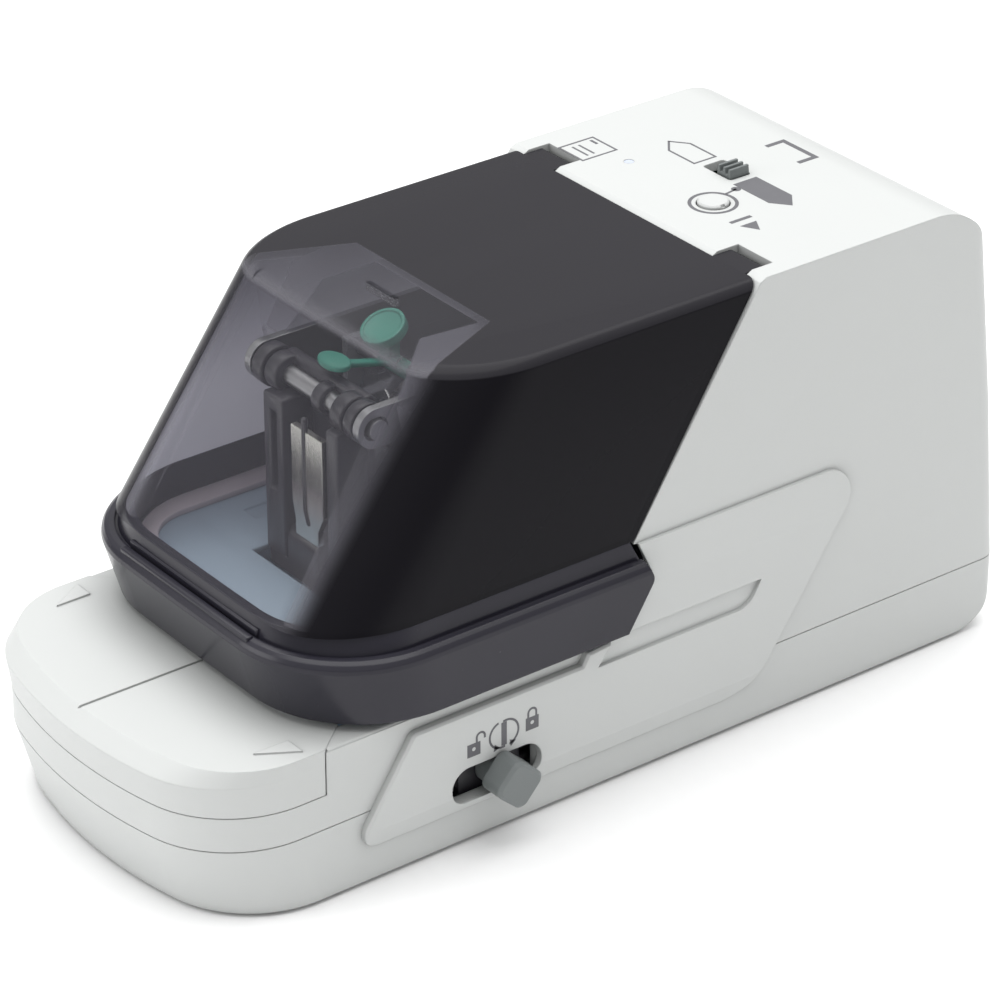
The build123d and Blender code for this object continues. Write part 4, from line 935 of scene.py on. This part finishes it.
def make_guide_floor():
    """Pale upper paper guide round the head, open behind for the cartridge."""
    under = GUIDE_Z - GUIDE_THICK
    half = GUIDE_HALF - 0.0004
    slab = guide_outline("guide_floor", half, GUIDE_FRONT + 0.0004, GUIDE_REAR, under, GUIDE_Z, GUIDE_CORNER)
    cut(slab, block("hole", (-0.0146, -0.0534, under - 0.01), (0.0146, -0.0390, GUIDE_Z + 0.01)))
    cut(slab, block("bay", (-0.0230, -0.0392, under - 0.01), (0.0230, GUIDE_REAR + 0.01, GUIDE_Z + 0.01)))
    for side in (-1, 1):
        inner, outer = sorted((side * 0.0252, side * 0.0302))
        recess = block("recess", (inner, -0.0450, GUIDE_Z - 0.0005), (outer, -0.0280, GUIDE_Z + 0.01))
        cut(slab, recess)
    round_edges(slab, 0.00025, 2, 40)
    return finish_piece(slab, ["blue_plastic"], "base")


def make_floor_rim():
    """Pale raised rim round the upper paper guide."""
    top = GUIDE_Z + RIM_RISE
    low = GUIDE_Z - GUIDE_THICK - 0.0002
    rim = guide_outline("guide_rim", GUIDE_HALF, GUIDE_FRONT, GUIDE_REAR, low, top, GUIDE_CORNER)
    half = GUIDE_HALF - RIM_WIDTH
    front = GUIDE_FRONT + RIM_WIDTH * 0.8
    cut(rim, guide_outline("inside", half, front, GUIDE_REAR + 0.01, GUIDE_Z, top + 0.01, 0.012))
    half = GUIDE_HALF - 0.0003
    front = GUIDE_FRONT + 0.0003
    cut(rim, guide_outline("under", half, front, GUIDE_REAR + 0.01, low - 0.01, GUIDE_Z, 0.0198))
    round_edges(rim, 0.0004, 3, 40)
    return finish_piece(rim, ["border_plastic"], "base")


def softened(piece, width=0.0006):
    """Rounds a piece's edges and hands it back."""
    round_edges(piece, width, 3, 40)
    return piece


def leg_gap(front, rear):
    """Cutter for the tall gap in the head frame's left leg."""
    return block("gap", (GAP_LEFT, front, GAP_FOOT), (GAP_RIGHT, rear, GAP_HEAD))


def make_head_frame():
    """Open black frame of the staple head: cross bar, legs, foot and shaft collars."""
    shaft = (SHAFT_LOW + SHAFT_HIGH) / 2
    front, rear = BLOCK_LOW.y, BLOCK_HIGH.y
    side = BLOCK_HIGH.x
    foot_z = BLOCK_LOW.z
    bar = block("bar", (-side, shaft.y + 0.0010, 0.0860), (side, rear, BLOCK_HIGH.z - 0.0006))
    with editing(bar):
        pick(bar, "edges", lambda c, d: abs(d.x) > 0.9 and c.z > 0.09)
        bpy.ops.mesh.bevel(offset=0.0012, segments=3, affect="EDGES")
    left = block("left", (HEAD_LEFT, front + 0.0010, foot_z + 0.004), (-0.0056, rear - 0.002, HEAD_LEG_TOP))
    cut(left, leg_gap(front - 0.004, rear + 0.004))
    right = block("right", (0.0100, front + 0.0010, 0.0570), (side, rear - 0.002, HEAD_LEG_TOP))
    rib = block("rib", (0.0024, front, 0.0655), (0.0037, front + 0.0014, HEAD_LEG_TOP))
    with editing(rib):
        pick(rib, "faces", lambda c, n: n.z < -0.9)
        bpy.ops.mesh.extrude_region_move(TRANSFORM_OT_translate={"value": (0.0012, 0, -0.0035)})
    foot = block("foot", (HEAD_LEFT, front + 0.0016, foot_z), (0.0052, rear - 0.001, 0.0575))
    with editing(foot):
        pick(foot, "edges", lambda c, d: abs(d.x) > 0.9 and c.z > 0.05 and c.y < -0.047)
        bpy.ops.mesh.bevel(offset=0.0030, segments=3, affect="EDGES")
    back = block("back", (HEAD_LEFT, rear - 0.0022, foot_z), (side, rear, HEAD_LEG_TOP))
    cut(back, leg_gap(rear - 0.006, rear + 0.004))
    parts = [softened(piece) for piece in (bar, left, right, rib, foot, back)]
    collars = ((-0.0118, 0.0042, 0.0020), (0.0034, 0.0034, 0.0016), (0.0118, 0.0044, 0.0020))
    for x, radius, half in collars:
        start, end = (x - half, shaft.y, shaft.z), (x + half, shaft.y, shaft.z)
        parts.append(softened(cylinder("collar", radius, start, end, 40), 0.0004))
    piece = join(parts, "head_frame")
    return finish_piece(piece, ["head_plastic"], "staple_head", 30, ["head_block"])


def make_release_lever():
    """Green lever: round thumb disc, oval front pad, bridge and pivot leg."""
    low, high = LEVER_LOW, LEVER_HIGH
    disc_low = Vector((-0.0025, -0.0262, 0.0968))
    disc = cylinder("disc", 0.0051, disc_low, disc_low + Vector((0, -0.0010, 0.0020)), 44)
    with editing(disc):
        pick(disc, "faces", lambda c, n: n.z > 0.5)
        bpy.ops.mesh.inset(thickness=0.0008)
        bpy.ops.mesh.extrude_region_move(TRANSFORM_OT_translate={"value": (0, 0.0001, -0.0003)})
    neck = block("neck", (-0.0046, -0.0268, 0.0895), (-0.0004, -0.0240, 0.0982))
    bridge = block("bridge", (-0.0046, -0.0272, 0.0890), (0.0112, -0.0238, 0.0916))
    leg = block("leg", (0.0086, -0.0300, low.z + 0.0004), (high.x - 0.0004, -0.0212, 0.0930))
    with editing(leg):
        pick(leg, "edges", lambda c, d: abs(d.x) > 0.9)
        bpy.ops.mesh.bevel(offset=0.0024, segments=4, affect="EDGES")
    pad = cylinder("pad", 0.0034, (PAD_X, PAD_Y, 0.0960), (PAD_X, PAD_Y, 0.0974), 40)
    with editing(pad):
        bpy.ops.mesh.select_all(action="SELECT")
        bpy.ops.transform.resize(value=(1.3, 0.85, 1), center_override=(PAD_X, PAD_Y, 0.0967))
    arm = block("arm", (0.0004, -0.0420, 0.0953), (0.0028, -0.0262, 0.0966))
    with editing(arm):
        pick(arm, "verts", lambda c, n: c.y > -0.03)
        bpy.ops.transform.translate(value=(-0.0006, 0, -0.0045))
    parts = [softened(piece, 0.0004) for piece in (disc, neck, bridge, leg, pad, arm)]
    return finish_piece(
        join(parts, "thumb_lever"), ["green_plastic"], "release_lever", 30, ["release_lever"]
    )


def make_shaft_wheels():
    """Big roller and ring end that stand at the ends of the head's cross shaft."""
    shaft = (SHAFT_LOW + SHAFT_HIGH) / 2
    parts = []
    for x, radius, width in ((-0.0160, 0.0047, 0.0034), (0.0162, 0.0045, 0.0030)):
        start, end = (x - width / 2, shaft.y, shaft.z), (x + width / 2, shaft.y, shaft.z)
        wheel = cylinder("wheel", radius, start, end, 44)
        with editing(wheel):
            pick(wheel, "faces", lambda c, n: abs(n.x) > 0.9)
            bpy.ops.mesh.inset(thickness=radius * 0.3, use_individual=True)
            bpy.ops.mesh.extrude_region_shrink_fatten(TRANSFORM_OT_shrink_fatten={"value": -0.0006})
        parts.append(softened(wheel, 0.0005))
    piece = join(parts, "shaft_wheels")
    return finish_piece(piece, ["head_plastic"], "staple_head", 30, ["head_rollers"])


# ------------------------------------------------------------------ stage and camera
def soft_light(name, place, aim, size, power, tint=(1, 1, 1)):
    """Area light at a place, turned to its aim."""
    clear_selection()
    bpy.ops.object.light_add(type="AREA", location=place)
    lamp = bpy.context.object
    lamp.name = name
    lamp.data.shape = "RECTANGLE"
    lamp.data.size, lamp.data.size_y = size
    lamp.data.energy = power
    lamp.data.color = tint
    lamp.rotation_euler = (Vector(aim) - Vector(place)).to_track_quat("-Z", "Y").to_euler()
    return lamp


def studio_world():
    """Soft surround, bright overhead and dimmer towards the horizon."""
    world = bpy.data.worlds.new("studio")
    world.use_nodes = True
    tree = world.node_tree
    back = tree.nodes["Background"]
    place = tree.nodes.new("ShaderNodeTexCoord")
    parts = tree.nodes.new("ShaderNodeSeparateXYZ")
    fade = tree.nodes.new("ShaderNodeMapRange")
    fade.interpolation_type = "SMOOTHSTEP"
    fade.inputs["From Min"].default_value = -0.1
    fade.inputs["From Max"].default_value = 0.9
    fade.inputs["To Min"].default_value = HORIZON_STRENGTH
    fade.inputs["To Max"].default_value = ZENITH_STRENGTH
    tree.links.new(place.outputs["Generated"], parts.inputs[0])
    tree.links.new(parts.outputs["Z"], fade.inputs["Value"])
    tree.links.new(fade.outputs["Result"], back.inputs["Strength"])
    back.inputs["Color"].default_value = (1.0, 1.0, 1.0, 1.0)
    return world


def make_stage():
    """Pale floor, soft lights and the camera."""
    clear_selection()
    bpy.ops.mesh.primitive_plane_add(size=8.0, location=(0, 0, 0))
    floor = bpy.context.object
    floor.name = "studio_floor"
    floor.data.materials.append(MATERIALS["floor"])
    scene = bpy.context.scene
    scene.world = studio_world()
    scene.view_settings.view_transform = "Standard"
    soft_light("overhead_softbox", (-0.10, 0.10, 1.0), (0, 0, 0.05), (1.1, 1.1), OVERHEAD_POWER)
    soft_light("front_softbox", (-0.45, -0.95, 0.45), (0, -0.05, 0.04), (0.6, 0.5), FRONT_POWER)
    bpy.ops.object.camera_add(location=CAMERA_PLACE)
    camera = bpy.context.object
    camera.name = "camera"
    camera.rotation_mode = "QUATERNION"
    camera.rotation_quaternion = Vector(CAMERA_LOOK).to_track_quat("-Z", "Y")
    camera.data.sensor_width = CAMERA_SENSOR
    camera.data.lens = CAMERA_LENS
    camera.data.clip_start = 0.01
    camera.data.clip_end = 20.0
    scene.camera = camera


def dress_frame():
    """Gives every CAD node its material by the record's slots."""
    slots = {entry["node"]: entry["material_slot"] for entry in frame["record"]["subparts"]}
    special = {"staple_roll": "staple_metal"}
    for name, node in frame["nodes"].items():
        material = MATERIALS[special.get(name, slots[name])]
        node.data.materials.clear()
        node.data.materials.append(material)


# ------------------------------------------------------------------ operators
class STAPLER_OT_materials(bpy.types.Operator):
    """Make the materials and give every CAD piece its own"""

    bl_idname = "stapler.materials"
    bl_label = "Materials"

    def execute(self, context):
        make_materials()
        dress_frame()
        return {"FINISHED"}


class STAPLER_OT_hood(bpy.types.Operator):
    """Model the smoked hood with its window, lugs and slot, and the step on its frame"""

    bl_idname = "stapler.hood"
    bl_label = "Smoked hood"

    def execute(self, context):
        make_hood()
        make_frame_step()
        return {"FINISHED"}


class STAPLER_OT_marks(bpy.types.Operator):
    """Lay the printed marks on the top and beside the lock knob"""

    bl_idname = "stapler.marks"
    bl_label = "Printed marks"

    def execute(self, context):
        make_top_marks()
        make_side_marks()
        return {"FINISHED"}


class STAPLER_OT_guide(bpy.types.Operator):
    """Model the side rails, the pale upper paper guide and its rim"""

    bl_idname = "stapler.guide"
    bl_label = "Upper paper guide"

    def execute(self, context):
        make_side_rails()
        make_guide_floor()
        make_floor_rim()
        return {"FINISHED"}


class STAPLER_OT_head(bpy.types.Operator):
    """Model the open frame of the staple head and its shaft wheels"""

    bl_idname = "stapler.head"
    bl_label = "Staple head"

    def execute(self, context):
        make_head_frame()
        make_shaft_wheels()
        return {"FINISHED"}


class STAPLER_OT_lever(bpy.types.Operator):
    """Model the green thumb lever on the cartridge"""

    bl_idname = "stapler.lever"
    bl_label = "Thumb lever"

    def execute(self, context):
        make_release_lever()
        return {"FINISHED"}


class STAPLER_OT_stage(bpy.types.Operator):
    """Set the pale floor, the soft lights and the camera"""

    bl_idname = "stapler.stage"
    bl_label = "Studio"

    def execute(self, context):
        make_stage()
        return {"FINISHED"}


OPERATORS = (
    STAPLER_OT_materials, STAPLER_OT_hood, STAPLER_OT_marks, STAPLER_OT_guide, STAPLER_OT_head,
    STAPLER_OT_lever, STAPLER_OT_stage,
)


class VIEW3D_PT_stapler(bpy.types.Panel):
    """Lists the stapler's pieces in the sidebar"""

    bl_idname = "VIEW3D_PT_stapler"
    bl_label = "Electric stapler"
    bl_space_type = "VIEW_3D"
    bl_region_type = "UI"
    bl_category = "Stapler"

    def draw(self, context):
        column = self.layout.column()
        for group in (context.scene.stapler_sizes, context.scene.stapler_colours):
            for name in group.__annotations__:
                column.prop(group, name)
        for operator in OPERATORS:
            column.operator(operator.bl_idname)


CLASSES = (StaplerSizes, StaplerColours, *OPERATORS, VIEW3D_PT_stapler)


def register():
    for kind in CLASSES:
        bpy.utils.register_class(kind)
    bpy.types.Scene.stapler_sizes = PointerProperty(type=StaplerSizes)
    bpy.types.Scene.stapler_colours = PointerProperty(type=StaplerColours)


def unregister():
    del bpy.types.Scene.stapler_colours
    del bpy.types.Scene.stapler_sizes
    for kind in reversed(CLASSES):
        bpy.utils.unregister_class(kind)


def main():
    register()
    bpy.ops.stapler.materials()
    bpy.ops.stapler.hood()
    bpy.ops.stapler.marks()
    bpy.ops.stapler.guide()
    bpy.ops.stapler.head()
    bpy.ops.stapler.lever()
    bpy.ops.stapler.stage()


if __name__ == "__main__":
    main()
